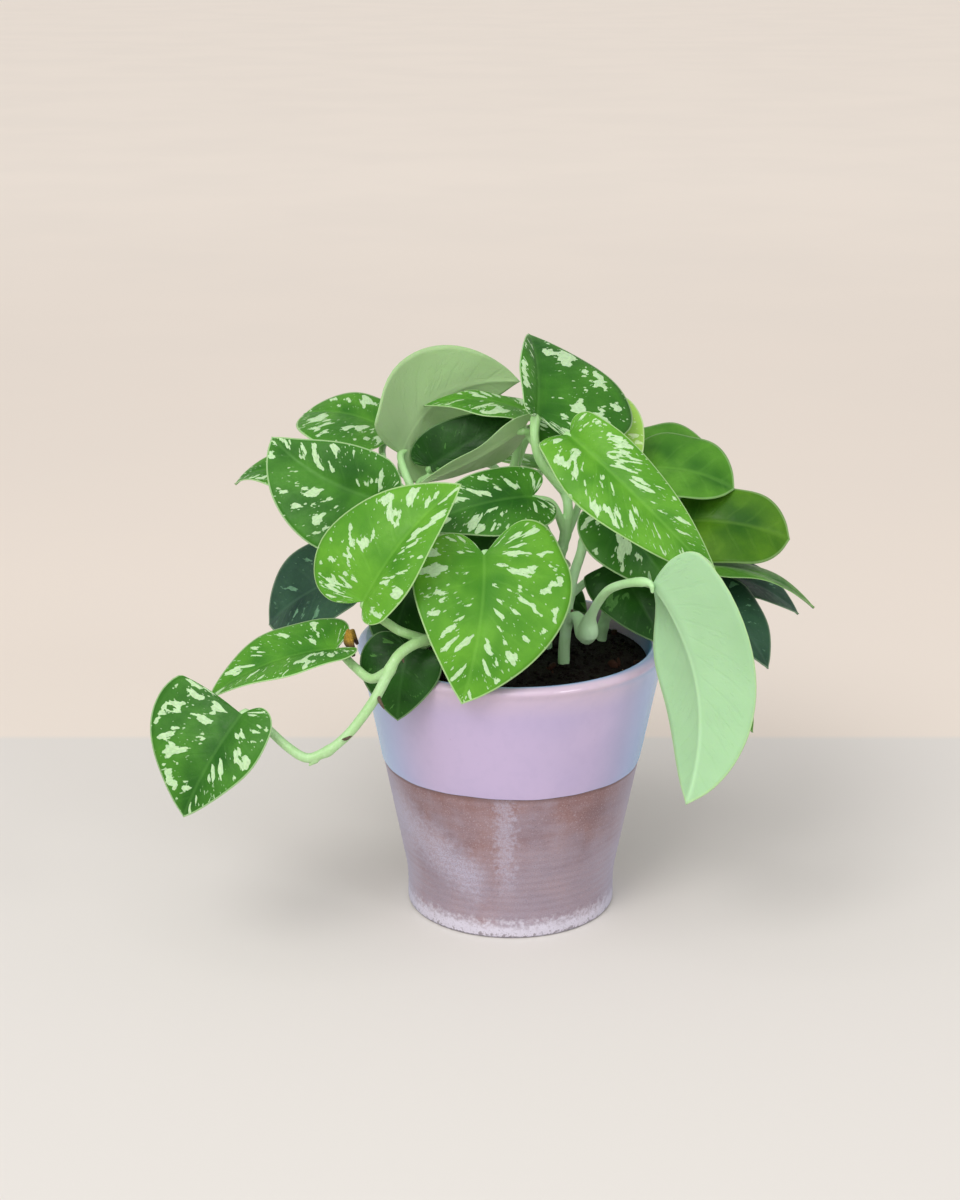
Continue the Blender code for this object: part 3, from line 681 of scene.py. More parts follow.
def bent(row, across, along):
    """Places flat blade points: across in half-widths (right is +), along in lengths."""
    joint, length, right, ahead, face = blade_frame(row)
    across = np.asarray(across, float)
    along = np.asarray(along, float)
    lobe = np.where(across < 0, row["lobe"][0], row["lobe"][1])
    along = np.where(along < 0, along * lobe, along)
    q = np.clip(along, 0, 1)
    bow = 4 * q * (1 - q)
    slope = 4 * (1 - 2 * q)
    bend = row["arch"] * bow + row["droop"] * q * q * (1 - q) * 4
    bend_slope = row["arch"] * slope + row["droop"] * (2 * q - 3 * q * q) * 4
    under = np.minimum(along, 0) * length
    out = under * 0.35 * math.tanh(4 * row["arch"] / length)
    middle = joint + np.multiply.outer(along * length, ahead) + np.multiply.outer(bend + out, face)
    middle = middle + np.multiply.outer(row["sweep"] * bow, right)
    heading = length * ahead + np.multiply.outer(bend_slope, face)
    heading = heading + np.multiply.outer(row["sweep"] * slope, right)
    heading = heading / np.linalg.norm(heading, axis=-1, keepdims=True)
    up = face - heading * (heading @ face)[..., None]
    up = up / np.linalg.norm(up, axis=-1, keepdims=True)
    side = np.cross(heading, up)
    half = np.where(across < 0, row["left"], row["right"]) * (1 + row["blunt"] * q ** 3)
    reach = np.abs(across)
    fold = np.where(across < 0, row["fold"][0], row["fold"][1])
    furl = np.where(across < 0, row["furl"][0], row["furl"][1])
    fold = np.radians(fold) * (1 - 0.4 * q) + np.radians(furl) * np.exp(-((q / 0.22) ** 2))
    x = across * half * np.cos(fold)
    z = reach * half * np.sin(fold) * (1 - 0.25 * reach)
    z = z + row["cup"] * reach ** 2
    z = z + MARGIN_RIPPLE * reach ** 2 * np.sin(9.0 * along + np.where(across < 0, 0.8, 2.6))
    return middle + side * x[..., None] + up * z[..., None], up


print("one blade's length, mm:", round(blade_frame(LEAVES["front_heart"])[1], 1))


# %% [markdown]
# ## Building the leaves
# A leaf could be a flat card with a picture on it, but it would show no thickness and no curl from the
# side. Here each blade is a lattice: its rows run from the midrib to the margin the way the side veins do,
# so the mesh itself carries the vein directions. The formula folds the two halves along the midrib,
# arches the blade and ripples its margin. The fine mesh adds what the solid leaves out: a sunken midrib
# above, a raised rib below, soft quilting between the veins and a margin that thins to a rounded edge.

# %% Mesh helpers
def finish_mesh(name, points, faces, materials, attributes=None, weld=1e-9):
    """A smooth-shaded object from points in mm. attributes maps a name to one value per point."""
    mesh = bpy.data.meshes.new(name)
    mesh.from_pydata((np.asarray(points) * MM).tolist(), [], faces)
    for key, values in (attributes or {}).items():
        values = np.asarray(values, np.float32)
        kind, field = ("FLOAT_VECTOR", "vector") if values.ndim == 2 else ("FLOAT", "value")
        mesh.attributes.new(key, kind, "POINT").data.foreach_set(field, values.ravel())
    work = bmesh.new()
    work.from_mesh(mesh)
    bmesh.ops.remove_doubles(work, verts=work.verts, dist=weld)
    bmesh.ops.dissolve_degenerate(work, edges=work.edges, dist=weld)
    for face in work.faces:
        face.smooth = True
    work.to_mesh(mesh)
    work.free()
    for material in materials:
        mesh.materials.append(material)
    made = bpy.data.objects.new(name, mesh)
    scene.collection.objects.link(made)
    return made


def lathe(rings, bottom, top):
    """Points and faces of a closed body: rings with equally many points, between two end points."""
    count = len(rings[0])
    points = [bottom, *(point for ring in rings for point in ring), top]
    last = 1 + (len(rings) - 1) * count
    faces = []
    for k in range(count):
        n = (k + 1) % count
        faces.append((0, 1 + n, 1 + k))
        for low in range(1, last, count):
            faces.append((low + k, low + n, low + count + n, low + count + k))
        faces.append((len(points) - 1, last + k, last + n))
    return points, faces


def around(count):
    """Evenly spaced angles of a full turn."""
    return [2 * math.pi * k / count for k in range(count)]


def stand_for(made, slot, *nodes):
    """The piece rides with the plant and stands for CAD nodes, which it hides; slot is not used."""
    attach(made, "root")
    if nodes:
        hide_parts(*nodes)
    return made


# %% Leaf blades
BLADE_ROWS = 44
BLADE_STEPS = 11
BLADE_THICKNESS = 0.95
VEIN_PITCH = 6.6
FACE_RELIEF = 0.07
RIB_WIDTH = 1.1
RIB_SINK = 0.22
RIB_RISE = 0.62
VEIN_LEAN = 1.55
VEIN_SPREAD = 1.35
LEAF_STRIDE = 7.3
SIDE_STRIDE = 4.4
LEAF_WELD = 2e-6

PALE_SLOT = {"pale_back", "hanging", "mid_pale"}


def lattice(row):
    """Across and along of every lattice point, how far out it lies on its vein, and its row's place."""
    edge = spline([(a, b, 0) for a, b in OUTLINE], BLADE_ROWS + 1)[:, :2]
    edge[0] = OUTLINE[0]
    edge[-1] = OUTLINE[-1]
    t = np.linspace(0, 1, BLADE_ROWS + 1)
    root = np.clip((t - FAN) / (1 - FAN), 0, 1) ** VEIN_LEAN
    steps = np.linspace(-1, 1, 2 * BLADE_STEPS + 1)
    steps = np.sign(steps) * np.abs(steps) ** 0.9
    reach = np.abs(steps)
    across = np.outer(edge[:, 0], steps)
    along = root[:, None] + np.outer(edge[:, 1] - root, reach)
    half = np.where(steps < 0, row["left"], row["right"])
    length = blade_frame(row)[1]
    ray = np.hypot(edge[:, 0][:, None] * half, (edge[:, 1] - root)[:, None] * length)
    return across, along, reach, half, ray, t


def leaf_blade(name, row, number):
    across, along, reach, half, ray, t = lattice(row)
    rows, columns = across.shape
    place, up = bent(row, across, along)
    length = blade_frame(row)[1]
    middle = np.abs(across) * half
    out = np.broadcast_to(reach, across.shape)
    vein_gap = np.broadcast_to((t * length * VEIN_SPREAD)[:, None], across.shape)
    quilt = np.cos(2 * math.pi * vein_gap / VEIN_PITCH) * np.sin(math.pi * np.clip(out, 0, 1)) * FACE_RELIEF
    rib = np.exp(-((middle / RIB_WIDTH) ** 2)) * (1 - 0.7 * np.clip(along, 0, 1))
    thick = BLADE_THICKNESS * (1 - 0.72 * out ** 1.6)
    top = place + up * (thick / 2 + quilt - rib * RIB_SINK)[..., None]
    under = place - up * (thick / 2 - quilt + rib * RIB_RISE)[..., None]
    points = np.concatenate([top.reshape(-1, 3), under.reshape(-1, 3)])
    count = rows * columns
    faces = []
    for i in range(rows - 1):
        for j in range(columns - 1):
            a = i * columns + j
            quad = (a, a + 1, a + columns + 1, a + columns)
            faces.append(quad)
            faces.append(tuple(v + count for v in quad[::-1]))
        first = i * columns
        last = first + columns - 1
        faces.append((first + count, first, first + columns, first + columns + count))
        faces.append((last, last + count, last + columns + count, last + columns))
    own = number * LEAF_STRIDE + np.sign(across) * SIDE_STRIDE
    vein_place = np.stack([out * ray, vein_gap, own], -1).reshape(-1, 3)
    values = {
        "vein_place": np.tile(vein_place, (2, 1)),
        "reach": np.tile(out.ravel(), 2),
        "middle": np.tile(middle.ravel(), 2),
        "edge": np.tile(((1 - out) * ray).ravel(), 2),
        "upper": np.repeat([1.0, 0.0], count),
    }
    look = leaf_finish[row["tone"]]
    made = finish_mesh("leaf_" + name + "_blade", points, faces, [look], values, weld=LEAF_WELD)
    slot = "leaf_pale" if name in PALE_SLOT else "leaf"
    return stand_for(made, slot, "leaf_" + name)


blades = [leaf_blade(name, row, number) for number, (name, row) in enumerate(LEAVES.items())]
print("blades:", len(blades), "faces:", sum(len(made.data.polygons) for made in blades))


# %% [markdown]
# ## Building the stems
# A stem could be a bevelled curve, but then each petiole would stick out of it like a nail. On the plant
# they are one piece of tissue that flows together at a swollen node. So the tubes of a stem and its
# petioles are swept separately, put in one mesh and remeshed as one skin, and a smoothing pass rounds the
# joints. Each petiole swells at its foot, thins upward, swells again at the knee under the blade and runs
# on into the blade's midrib.

# %% Tubes
ROOT_DEPTH = 9.0
TUBE_SIDES = 16


def tube(path, radii, sides=TUBE_SIDES):
    """Points and faces of a closed round tube along a path."""
    path = np.asarray(path, float)
    tangents = np.gradient(path, axis=0)
    tangents = tangents / np.linalg.norm(tangents, axis=1)[:, None]
    normal = unit(np.cross(tangents[0], (0.3, 1.0, 0.2)))
    points = []
    for centre, tangent, radius in zip(path, tangents, radii):
        normal = unit(normal - tangent * np.dot(normal, tangent))
        other = np.cross(tangent, normal)
        for k in range(sides):
            a = 2 * math.pi * k / sides
            points.append(centre + radius * (math.cos(a) * normal + math.sin(a) * other))
    faces = [tuple(range(sides - 1, -1, -1))]
    for i in range(len(path) - 1):
        for k in range(sides):
            n = (k + 1) % sides
            low = i * sides
            faces.append((low + k, low + n, low + sides + n, low + sides + k))
    last = (len(path) - 1) * sides
    faces.append(tuple(range(last, last + sides)))
    return points, faces


def joined(parts):
    """Several point and face lists as one."""
    points = []
    faces = []
    for part_points, part_faces in parts:
        start = len(points)
        points.extend(part_points)
        faces.extend(tuple(v + start for v in face) for face in part_faces)
    return points, faces


def one_skin(made, voxel, rounds):
    """Remeshes touching bodies into one skin and smooths it; the result is kept as the mesh."""
    remesh = made.modifiers.new("one_skin", "REMESH")
    remesh.mode = "VOXEL"
    remesh.voxel_size = voxel * MM
    remesh.use_smooth_shade = True
    smooth = made.modifiers.new("rounded", "SMOOTH")
    smooth.factor = 0.5
    smooth.iterations = rounds
    graph = bpy.context.evaluated_depsgraph_get()
    skin = bpy.data.meshes.new_from_object(made.evaluated_get(graph))
    made.modifiers.clear()
    old = made.data
    made.data = skin
    bpy.data.meshes.remove(old)
    for face in skin.polygons:
        face.use_smooth = True
    return made


print("tube sides:", TUBE_SIDES)


# %% Stems with their petioles
STEM_STEP = 5.5
FINE_STEP = 1.5
NODE_SWELL = 0.45
NODE_LENGTH = 2.0
KNEE_AT = 0.90
KNEE_SWELL = 0.35
KNEE_LENGTH = 0.07
STEM_END = (0.92, 0.75, 0.45)
PETIOLE_FOOT = 1.10
PETIOLE_THINS = 0.22
VOXEL = 0.42


def stem_route(name):
    points, radius = STEMS[name]
    deep = np.array(points[0], float) - (0, 0, ROOT_DEPTH)
    span = sum(math.dist(a, b) for a, b in zip(points, points[1:]))
    path = spline([deep, *points], int((span + ROOT_DEPTH) / STEM_STEP))
    path[0] = deep
    return path, radius


def petiole_route(row, stem_path):
    """From the stem by the petiole's own points to the joint, and a little way along the midrib."""
    start = stem_path[min(int(row["node"] * (len(stem_path) - 1)), len(stem_path) - 2)]
    joint, _, _, ahead, face = blade_frame(row)
    under = joint - face * 1.9 - ahead * 0.9
    inside = joint - face * 0.85 + ahead * 3.2
    return start, [start, *row["via"], under, inside]


def build_stem(name):
    coarse, radius = stem_route(name)
    fine = spline(coarse, len(coarse) * 4)
    radii = np.linspace(radius[0], radius[1], len(fine))
    radii[-3:] *= STEM_END
    parts = []
    for leaf_name, row in LEAVES.items():
        if row["stem"] != name:
            continue
        start, route = petiole_route(row, coarse)
        near = np.linalg.norm(fine - start, axis=1)
        radii = radii + NODE_SWELL * np.exp(-((near / NODE_LENGTH) ** 2))
        span = sum(math.dist(a, b) for a, b in zip(route, route[1:]))
        way = spline(route, max(12, int(span / FINE_STEP)))
        at = np.linspace(0, 1, len(way))
        thick = row["petiole"] * (PETIOLE_FOOT - PETIOLE_THINS * at)
        thick = thick + KNEE_SWELL * np.exp(-(((at - KNEE_AT) / KNEE_LENGTH) ** 2))
        thick = thick + row["knee"][1] * np.exp(-((at - row["knee"][0]) / 0.09) ** 2)
        thick = thick * np.interp(at, (0.90, 1.0), (1.0, 0.40))
        parts.append(tube(way, thick))
    parts.insert(0, tube(fine, radii))
    points, faces = joined(parts)
    look = TRAILING_LOOK if name == "stem_trailing" else STEM_LOOK
    made = finish_mesh(name + "_vine", points, faces, [look])
    one_skin(made, VOXEL, 5)
    return stand_for(made, "stem", name)


vines = [build_stem(name) for name in STEMS]
print("vines:", [(made.name, len(made.data.polygons)) for made in vines])

# %% [markdown]
# ## The pot
# The pot is thrown: its wall leans outward from a low straight foot to a thick rounded rim. It was dipped
# upside down in glaze to a bit over half its height, so the glaze ends in a crisp, slightly wavy line,
# proud of the clay by its own thickness. A lathe makes it in one sweep. The rows next to the glaze line
# are moved up and down with the angle, so that the line is real geometry, and the faces above and below
# it take their own finish.

# %% Bare clay and its bloom
def make_bloom():
    """Lime salts that come out of damp clay: clouds, sideways wiping marks and a few runs."""
    given, out = new_group("Lime bloom", "Place", ("Height",), ("Bloom", "Grain", "Rings"))
    place = given["Place"]
    cloud = clouds(place, 26.0, 4.0, 0.6, 0.6)
    wipe = clouds(scaled(place, (26.0, 26.0, 190.0)), 1.0, 4.0, 0.65)
    run = clouds(scaled(place, (95.0, 95.0, 14.0)), 1.0, 3.0, 0.6, 0.3)
    grain = clouds(place, 1500.0, 2.0, 0.7)
    level = plus(times(cloud, 0.50), times(wipe, 0.26))
    level = plus(level, times(run, 0.24))
    low_down = ramp(given["Height"], 0.060, 0.012, -0.05, 0.09)
    bloom = ramp(plus(level, low_down), 0.36, 0.62)
    bloom = times(bloom, ramp(grain, 0.35, 0.60, 0.35, 1.0))
    feed(out["Bloom"], bloom)
    feed(out["Grain"], grain)
    feed(out["Rings"], wipe)
    return Desk.tree


bloom_group = make_bloom()
RUN_AT = -0.003
WIPE_SLOPE = 0.65
WIPE_LEVEL = 0.017


def clay_material():
    """Red-brown clay under a lime bloom, with a run and a wipe in front, and a painted pale reflection
    where it turns away.
    """
    material = new_material("bare_clay")
    place = object_place()
    height = parts(place)[2]
    marks = group(bloom_group, place=place, height=height)
    tone = group(mottle, place=place, size=0.018)
    body = mix(tone["Slow"], (150, 118, 118), (134, 108, 114))
    damp = ramp(height, 0.052, 0.067)
    body = mix(times(damp, 0.5), body, (142, 102, 96))
    colour = mix(times(marks["Bloom"], 0.58), body, (180, 174, 192))
    x, y, z = parts(place)
    front = ramp(y, 0.0, -0.02)
    wander = times(less(tone["Fine"], 0.5), 0.006)
    off_run = calc("ABSOLUTE", plus(less(x, RUN_AT), wander))
    run = times(ramp(off_run, 0.0065, 0.000), ramp(z, 0.014, 0.034))
    slant = calc("MULTIPLY_ADD", x, WIPE_SLOPE, less(z, WIPE_LEVEL))
    off_wipe = calc("ABSOLUTE", plus(slant, wander))
    wipe = times(ramp(off_wipe, 0.017, 0.000), ramp(x, -0.006, -0.018))
    pale = times(calc("MAXIMUM", times(run, 0.50), times(wipe, 0.66)), front)
    pale = times(pale, ramp(marks["Grain"], 0.35, 0.60, 0.25, 1.0))
    colour = mix(pale, colour, (200, 198, 222))
    foot_level = plus(height, times(less(tone["Fine"], 0.5), 0.004))
    colour = layered(
        colour,
        (ramp(foot_level, 0.0100, 0.0030, 0.0, 0.88), (216, 212, 226)),
        # painted shade: the foot's rounded lower edge is darker where it turns under the pot
        (ramp(foot_level, 0.0012, 0.0002, 0.0, 0.6), (92, 78, 76)),
        (ramp(marks["Grain"], 0.56, 0.72, 0.0, 0.5), (96, 74, 80)),
        (ramp(marks["Grain"], 0.44, 0.30, 0.0, 0.35), (206, 200, 214)),
        # painted reflection: paler and bluer where the clay turns away, like the pale room seen at a
        # glancing angle
        (ramp(facing(), 0.35, 0.95, 0.0, 0.6), (190, 190, 212)),
    )
    # painted shadow: a dark line on the clay just under the proud lower edge of the glaze
    glaze_edge_shadow = ramp(height, 0.0655, 0.0674, 0.0, 0.5)
    colour = mix(glaze_edge_shadow, colour, (104, 74, 70))
    relief = plus(times(marks["Grain"], 0.8), times(marks["Rings"], 1.2))
    return finished(material, colour, ramp(marks["Bloom"], 0.0, 1.0, 0.72, 0.9), bump(relief, 0.00022, 0.8))


CLAY_LOOK = clay_material()
print("clay:", CLAY_LOOK.name)


# %% Lavender glaze
HOLES_PER_METRE = 70.0


def glaze_material():
    """A milky lavender glaze: slow thickness changes, a pinker rim where it runs thin and painted lighter
    on top, a painted blue reflection on the sides, and pinholes.
    """
    material = new_material("lavender_glaze")
    place = object_place()
    height = parts(place)[2]
    tone = group(mottle, place=place, size=0.045)
    colour = mix(tone["Slow"], (184, 169, 206), (193, 175, 210))
    # The rim is pinker where the glaze runs thin, and lighter as painted light on its top.
    rim = ramp(height, 0.104, 0.119)
    colour = mix(times(rim, 0.6), colour, (214, 190, 200))
    colour = mix(ramp(tone["Fine"], 0.4, 1.0, 0.0, 0.12), colour, (172, 160, 196))
    hole = ramp(cells(place, HOLES_PER_METRE), 0.055, 0.036)
    seldom = ramp(clouds(place, 37.0, 1.0), 0.40, 0.44)
    hole = times(hole, seldom)
    colour = mix(times(hole, 0.8), colour, (84, 66, 74))
    # painted reflection: the sides turn sky blue where they face away, as if they reflected a blue sky
    colour = mix(ramp(facing(), 0.30, 0.90, 0.0, 0.9), colour, (142, 184, 238))
    ripple = clouds(place, 55.0, 2.0)
    relief = less(times(ripple, 0.5), hole)
    return finished(
        material, colour, ramp(hole, 0.0, 1.0, 0.13, 0.7), bump(relief, 0.0003, 0.5), sheen_weight=0.8,
        sheen_roughness=0.22, sheen_tint=(0.22, 0.58, 1.0, 1.0), coat_weight=0.6, coat_roughness=0.04)


GLAZE_LOOK = glaze_material()
print("glaze:", GLAZE_LOOK.name)

# %% Pot mesh
POT_HEIGHT = 120.0
RIM_RADIUS = 66.2
RIM_INNER_RADIUS = 59.5
RIM_ROUND = 2.6
FOOT_RADIUS = 45.5
FOOT_HEIGHT = 13.3
FOOT_CHAMFER = 1.2
FOOT_BLEND = 6.0
GLAZE_EDGE = 68.0
GLAZE_THICKNESS = 0.45
FLOOR_THICKNESS = 9.0
WALL_AT_FLOOR = 7.0
POT_SEGMENTS = 160
DRAIN_COUNT = 3
DRAIN_RADIUS = 4.5
DRAIN_CIRCLE = 24.0
RING_PITCH = 3.4
RING_DEPTH = 0.10
RINGS_AT = 20.0
RINGS_SPREAD = 22.0
COVE_HEIGHT = 3.0
COVE_REACH = 1.5


def wall_radius(height):
    """The outer wall: straight foot, short blend, then a straight lean out to the rim."""
    slope = (RIM_RADIUS - FOOT_RADIUS) / (POT_HEIGHT - FOOT_HEIGHT)
    u = np.clip((height - FOOT_HEIGHT + FOOT_BLEND) / (2 * FOOT_BLEND), 0, None)
    blend = np.where(u < 1, FOOT_BLEND * u * u, height - FOOT_HEIGHT)
    return FOOT_RADIUS + slope * blend


def glaze_line(angle):
    """How far the lower edge of the glaze wanders up and down from its even height."""
    return 0.28 * math.sin(3 * angle + 0.6) + 0.16 * math.sin(7 * angle + 2.1) + 0.07 * math.sin(19 * angle)


def pot_rows():
    """Rows of the lathe, up outside, over the rim and down inside: radius, height, how far the row
    follows the glaze line, and whether it is glazed above."""
    rows = []

    def row(radius, height, follow=0, glazed=False):
        rows.append((radius, height, follow, glazed))

    for k in range(4):
        row(FOOT_RADIUS - FOOT_CHAMFER - 6 * (1 - k / 3), 0.0)
    for k in range(1, 5):
        a = math.pi / 2 * k / 4
        row(FOOT_RADIUS - FOOT_CHAMFER * (1 - math.sin(a)), FOOT_CHAMFER * (1 - math.cos(a)))
    for height in np.linspace(2.4, GLAZE_EDGE - 2.0, 84):
        fade = math.exp(-((height - RINGS_AT) / RINGS_SPREAD) ** 2)
        rings = RING_DEPTH * math.cos(2 * math.pi * height / RING_PITCH) * fade
        row(float(wall_radius(height)) - GLAZE_THICKNESS * 0.9 * min(1, height / 20) + rings, height)
    edge = float(wall_radius(GLAZE_EDGE))
    row(edge - GLAZE_THICKNESS, GLAZE_EDGE - 0.8, 0.7)
    row(edge - GLAZE_THICKNESS - 0.06, GLAZE_EDGE - 0.05, 1, True)
    for k in range(1, 6):
        a = math.pi / 2 * k / 5
        row(edge - GLAZE_THICKNESS * (1 - math.sin(a)), GLAZE_EDGE + 0.55 * (1 - math.cos(a)), 1, True)
    for height in np.linspace(GLAZE_EDGE + 1.6, POT_HEIGHT - RIM_ROUND - 1.2, 22):
        row(float(wall_radius(height)), height, max(0.0, 1 - (height - GLAZE_EDGE) / 8), True)
    mid = (RIM_RADIUS + RIM_INNER_RADIUS) / 2
    half = (RIM_RADIUS - RIM_INNER_RADIUS) / 2
    for k in range(17):
        a = math.pi * k / 16
        row(mid + half * math.cos(a), POT_HEIGHT - RIM_ROUND + RIM_ROUND * math.sin(a), 0, True)
    inner = FOOT_RADIUS - WALL_AT_FLOOR
    for u in np.linspace(0.06, 1.0, 12):
        radius = RIM_INNER_RADIUS + (inner + COVE_REACH - RIM_INNER_RADIUS) * u
        height = POT_HEIGHT - RIM_ROUND + (FLOOR_THICKNESS + COVE_HEIGHT - POT_HEIGHT + RIM_ROUND) * u
        row(radius, height, 0, u < 0.3)
    row(inner - COVE_REACH, FLOOR_THICKNESS)
    row(inner * 0.8, FLOOR_THICKNESS)
    return rows


def build_pot():
    rows = pot_rows()
    rings = []
    for radius, height, follow, _ in rows:
        ring = []
        for a in around(POT_SEGMENTS):
            uneven = 1 + 0.0008 * math.sin(2 * a + 0.4 + height * 0.02)
            ring.append((radius * uneven * math.cos(a), radius * uneven * math.sin(a),
                         height + follow * glaze_line(a)))
        rings.append(ring)
    points, faces = lathe(rings, (0, 0, 0), (0, 0, FLOOR_THICKNESS))
    glazed = [low[3] and high[3] for low, high in zip(rows, rows[1:])]
    made = finish_mesh("pot_body", points, faces, [CLAY_LOOK, GLAZE_LOOK])
    finish = np.array([False, *glazed, False] * POT_SEGMENTS, np.int32)
    made.data.polygons.foreach_set("material_index", finish)
    for k in range(DRAIN_COUNT):
        a = math.pi / 2 + 2 * math.pi * k / DRAIN_COUNT
        centre = np.array((DRAIN_CIRCLE * math.cos(a), DRAIN_CIRCLE * math.sin(a), 0))
        path = [centre + (0, 0, z) for z in (-3, FLOOR_THICKNESS / 2, FLOOR_THICKNESS + 3)]
        drill = finish_mesh("drain_drill", *tube(path, [DRAIN_RADIUS] * 3, 40), [CLAY_LOOK])
        cut = made.modifiers.new("drain_%d" % k, "BOOLEAN")
        cut.object = drill
        graph = bpy.context.evaluated_depsgraph_get()
        bored = bpy.data.meshes.new_from_object(made.evaluated_get(graph))
        made.modifiers.clear()
        made.data = bored
        bpy.data.objects.remove(drill)
    return stand_for(made, "glazed_clay", "pot")


pot = build_pot()
print("pot faces:", len(pot.data.polygons))

# %% [markdown]
# ## The soil
# Potting mix is dark, damp and crumbly: peat crumbs, a few bark chips and pale grit. A flat disc with a
# bumpy picture would give itself away at the rim, so the top is heaped with noise and covered in crumbs
# of several sizes, and some bark chips and grit lie on it.

# %% Soil material
def soil_material():
    material = new_material("potting_mix")
    place = object_place()
    tone = group(mottle, place=place, size=0.009)
    colour = mix(tone["Slow"], (8, 5, 4), (20, 13, 10))
    colour = mix(times(tone["Fine"], 0.5), colour, (26, 17, 12))
    kind = attribute("kind")
    colour = mix(ramp(kind, 0.4, 0.6), colour, (48, 27, 17))
    colour = mix(ramp(kind, 1.4, 1.6), colour, (120, 104, 84))
    crumb = bump(clouds(place, 900.0, 4.0, 0.7), 0.0006)
    rough = ramp(tone["Fine"], 0.0, 1.0, 0.7, 0.95)
    return finished(material, colour, rough, crumb, specular_ior_level=0.15)


SOIL_LOOK = soil_material()
print("soil:", SOIL_LOOK.name)

# %% Soil mesh
SOIL_EDGE_HEIGHT = 112.0
SOIL_CROWN = 3.0
SOIL_BOTTOM = FLOOR_THICKNESS + 0.3
SOIL_RINGS = 46
SOIL_SEGMENTS = 120
CRUMBS = 620
BARK_CHIPS = 26
GRIT = 16
SOIL_SEED = 7


def cavity_radius(height):
    """How wide the pot is inside at a height."""
    low = FOOT_RADIUS - WALL_AT_FLOOR + COVE_REACH
    base = FLOOR_THICKNESS + COVE_HEIGHT
    u = (height - base) / (POT_HEIGHT - RIM_ROUND - base)
    return low + (RIM_INNER_RADIUS - low) * u


def soil_height(x, y):
    """The heap's height over a point: a low crown with lumps, lower again along the wall."""
    u = min(1.0, math.hypot(x, y) / cavity_radius(SOIL_EDGE_HEIGHT))
    lumps = noise.fractal(Vector((x, y, 3)) * 0.11, 0.7, 2.1, 5)
    return SOIL_EDGE_HEIGHT - 0.6 + SOIL_CROWN * (1 - u * u) + 0.9 * lumps * (1 - u ** 6)


def pebble(rng, centre, size):
    """A rough lump: a small ball, squeezed three ways and dented."""
    ball = bmesh.new()
    bmesh.ops.create_icosphere(ball, subdivisions=2, radius=1.0)
    turn = np.linalg.qr(rng.normal(size=(3, 3)))[0]
    shift = rng.uniform(0, 50)
    points = []
    for vert in ball.verts:
        dent = 1 + 0.28 * noise.noise(vert.co * 1.6 + Vector((shift, 0, 0)))
        points.append(np.array(centre) + turn @ (np.array(vert.co) * dent * size))
    faces = [tuple(v.index for v in face.verts) for face in ball.faces]
    if np.linalg.det(turn) < 0:
        faces = [face[::-1] for face in faces]
    ball.free()
    return points, faces


def build_soil():
    rng = np.random.default_rng(SOIL_SEED)
    widest = cavity_radius(SOIL_EDGE_HEIGHT) - 0.4
    low = FLOOR_THICKNESS + 3.2
    turns = around(SOIL_SEGMENTS)
    rings = []
    lowest = FOOT_RADIUS - WALL_AT_FLOOR - 2.0
    for radius, height in ((lowest, SOIL_BOTTOM), (cavity_radius(low) - 0.5, low)):
        rings.append([(radius * math.cos(a), radius * math.sin(a), height) for a in turns])
    for i in range(SOIL_RINGS):
        radius = widest * (1 - i / SOIL_RINGS)
        flat = [(radius * math.cos(a), radius * math.sin(a)) for a in turns]
        rings.append([(x, y, soil_height(x, y)) for x, y in flat])
    points, faces = lathe(rings, (0, 0, SOIL_BOTTOM), (0, 0, soil_height(0, 0)))
    parts = [(points, faces)]
    kinds = [0.0] * len(points)
    for kind, count, small, large, flat in ((0, CRUMBS, 0.5, 1.5, 0.8), (1, BARK_CHIPS, 1.4, 3.4, 0.35),
                                            (2, GRIT, 0.35, 0.7, 0.8)):
        for _ in range(count):
            a = rng.uniform(0, 2 * math.pi)
            radius = (widest - 3.0) * math.sqrt(rng.uniform())
            x = radius * math.cos(a)
            y = radius * math.sin(a)
            size = rng.uniform(small, large) * np.array((1.0, rng.uniform(0.55, 0.9), flat))
            part = pebble(rng, (x, y, soil_height(x, y) + 0.25 * size.min()), size)
            parts.append(part)
            kinds.extend([float(kind)] * len(part[0]))
    points, faces = joined(parts)
    made = finish_mesh("soil_heap", points, faces, [SOIL_LOOK], {"kind": kinds})
    return stand_for(made, "soil", "soil")


soil = build_soil()
print("soil faces:", len(soil.data.polygons))

# %% [markdown]
# ## Small growths
# A pothos starts short aerial roots at its nodes, dark and dry where they found nothing to hold. Most of
# them are on the vine that hangs over the rim, which also carries a tiny bud. A withered sheath, yellow
# and brown, still clings under the leaves at the left. Such bits tell a living plant from a plastic one.

# %% Dry tissue material
def dry_material(name, brown, straw, low, high):
    material = new_material(name)
    place = object_place()
    tone = group(mottle, place=place, size=0.004)
    up = ramp(parts(place)[2], low, high)
    colour = mix(up, brown, straw)
    colour = mix(times(tone["Fine"], 0.5), colour, brown)
    return finished(material, colour, ramp(tone["Slow"], 0.0, 1.0, 0.55, 0.8), bump(tone["Fine"], 0.0003))


SHEATH_LOOK = dry_material("withered_sheath", (66, 40, 26), (206, 160, 44), 0.1345, 0.1375)
ROOT_LOOK = dry_material("aerial_root", (70, 56, 46), (126, 108, 84), 0.0, 0.2)
print("dry tissue:", SHEATH_LOOK.name, ROOT_LOOK.name)

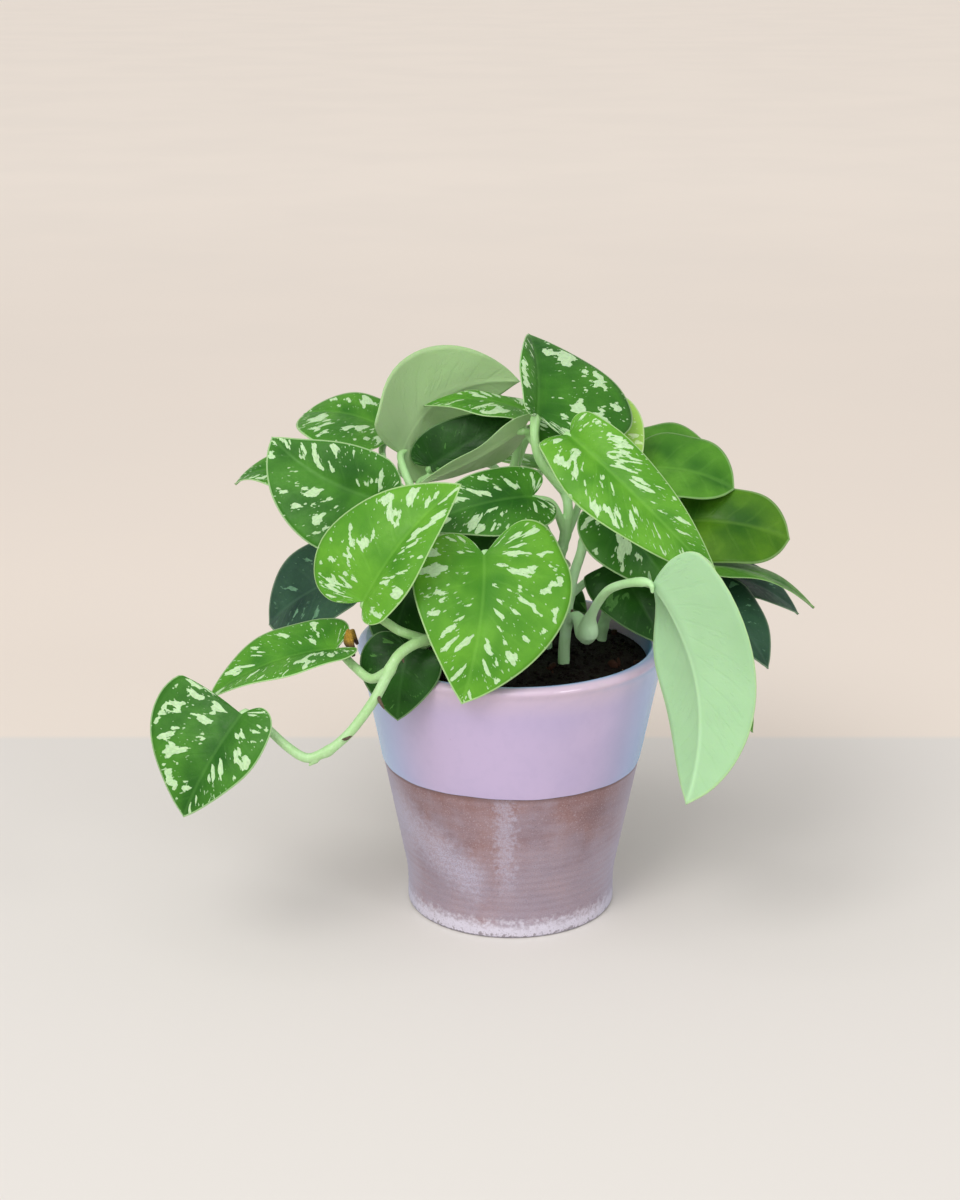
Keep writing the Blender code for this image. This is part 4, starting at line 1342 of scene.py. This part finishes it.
# %% Aerial roots, bud and sheath
ROOTS = [
    [(-65, -79, 106), (-66.5, -80.5, 105), (-68, -82, 105.4)],
    [(-54, -74.5, 121), (-53, -76.5, 119), (-51.5, -77.5, 116.5)],
    [(-44, -63.5, 136), (-44.5, -65.5, 134), (-44, -66.5, 132)],
    [(24, -11, 137), (25.5, -13.5, 135.5), (26.5, -15, 133)],
    [(17, 2, 128), (15, 0, 126.5), (13, -2, 124)],
]
BUD = [(-78, -81, 97.4), (-80, -81.6, 95.6), (-81.4, -82, 94.2)]
GROWTH_STEPS = 14
BUD_STEPS = 12
ROOT_SIDES = 10
SHEATH_STEPS = 22
SHEATH_SIDES = 18
SHEATH = [(-64.5, -57, 131.5), (-66.5, -52, 136.5), (-66, -47.5, 138), (-63.5, -45, 132.5)]


def growth(route, steps, stops, radii, sides):
    """A tube whose radius follows the stops along its length."""
    return tube(spline(route, steps), np.interp(np.linspace(0, 1, steps), stops, radii), sides)


def build_growths():
    roots = [growth(route, GROWTH_STEPS, (0, 0.7, 1), (0.95, 0.6, 0.25), ROOT_SIDES)
             for route in ROOTS]
    stand_for(finish_mesh("aerial_roots", *joined(roots), [ROOT_LOOK]), "stem")
    bud = growth(BUD, BUD_STEPS, (0, 0.35, 1), (1.5, 1.7, 0.3), TUBE_SIDES)
    stand_for(finish_mesh("vine_bud", *bud, [TRAILING_LOOK]), "stem")
    path = spline(SHEATH, SHEATH_STEPS)
    at = np.linspace(0, 1, SHEATH_STEPS)
    radii = 0.5 + 2.0 * np.sin(math.pi * np.clip(at * 0.92 + 0.06, 0, 1))
    points, faces = tube(path, radii, SHEATH_SIDES)
    crushed = []
    for number, point in enumerate(points):
        step, side = divmod(number, SHEATH_SIDES)
        angle = 2 * math.pi * side / SHEATH_SIDES
        crease = 1 - 0.35 * abs(math.sin(2.5 * angle + 4 * at[step]))
        crushed.append(path[step] + (point - path[step]) * crease)
    stand_for(finish_mesh("withered_sheath", crushed, faces, [SHEATH_LOOK]), "stem")


build_growths()
print("small growths:", len(ROOTS), "aerial roots, a bud and a sheath")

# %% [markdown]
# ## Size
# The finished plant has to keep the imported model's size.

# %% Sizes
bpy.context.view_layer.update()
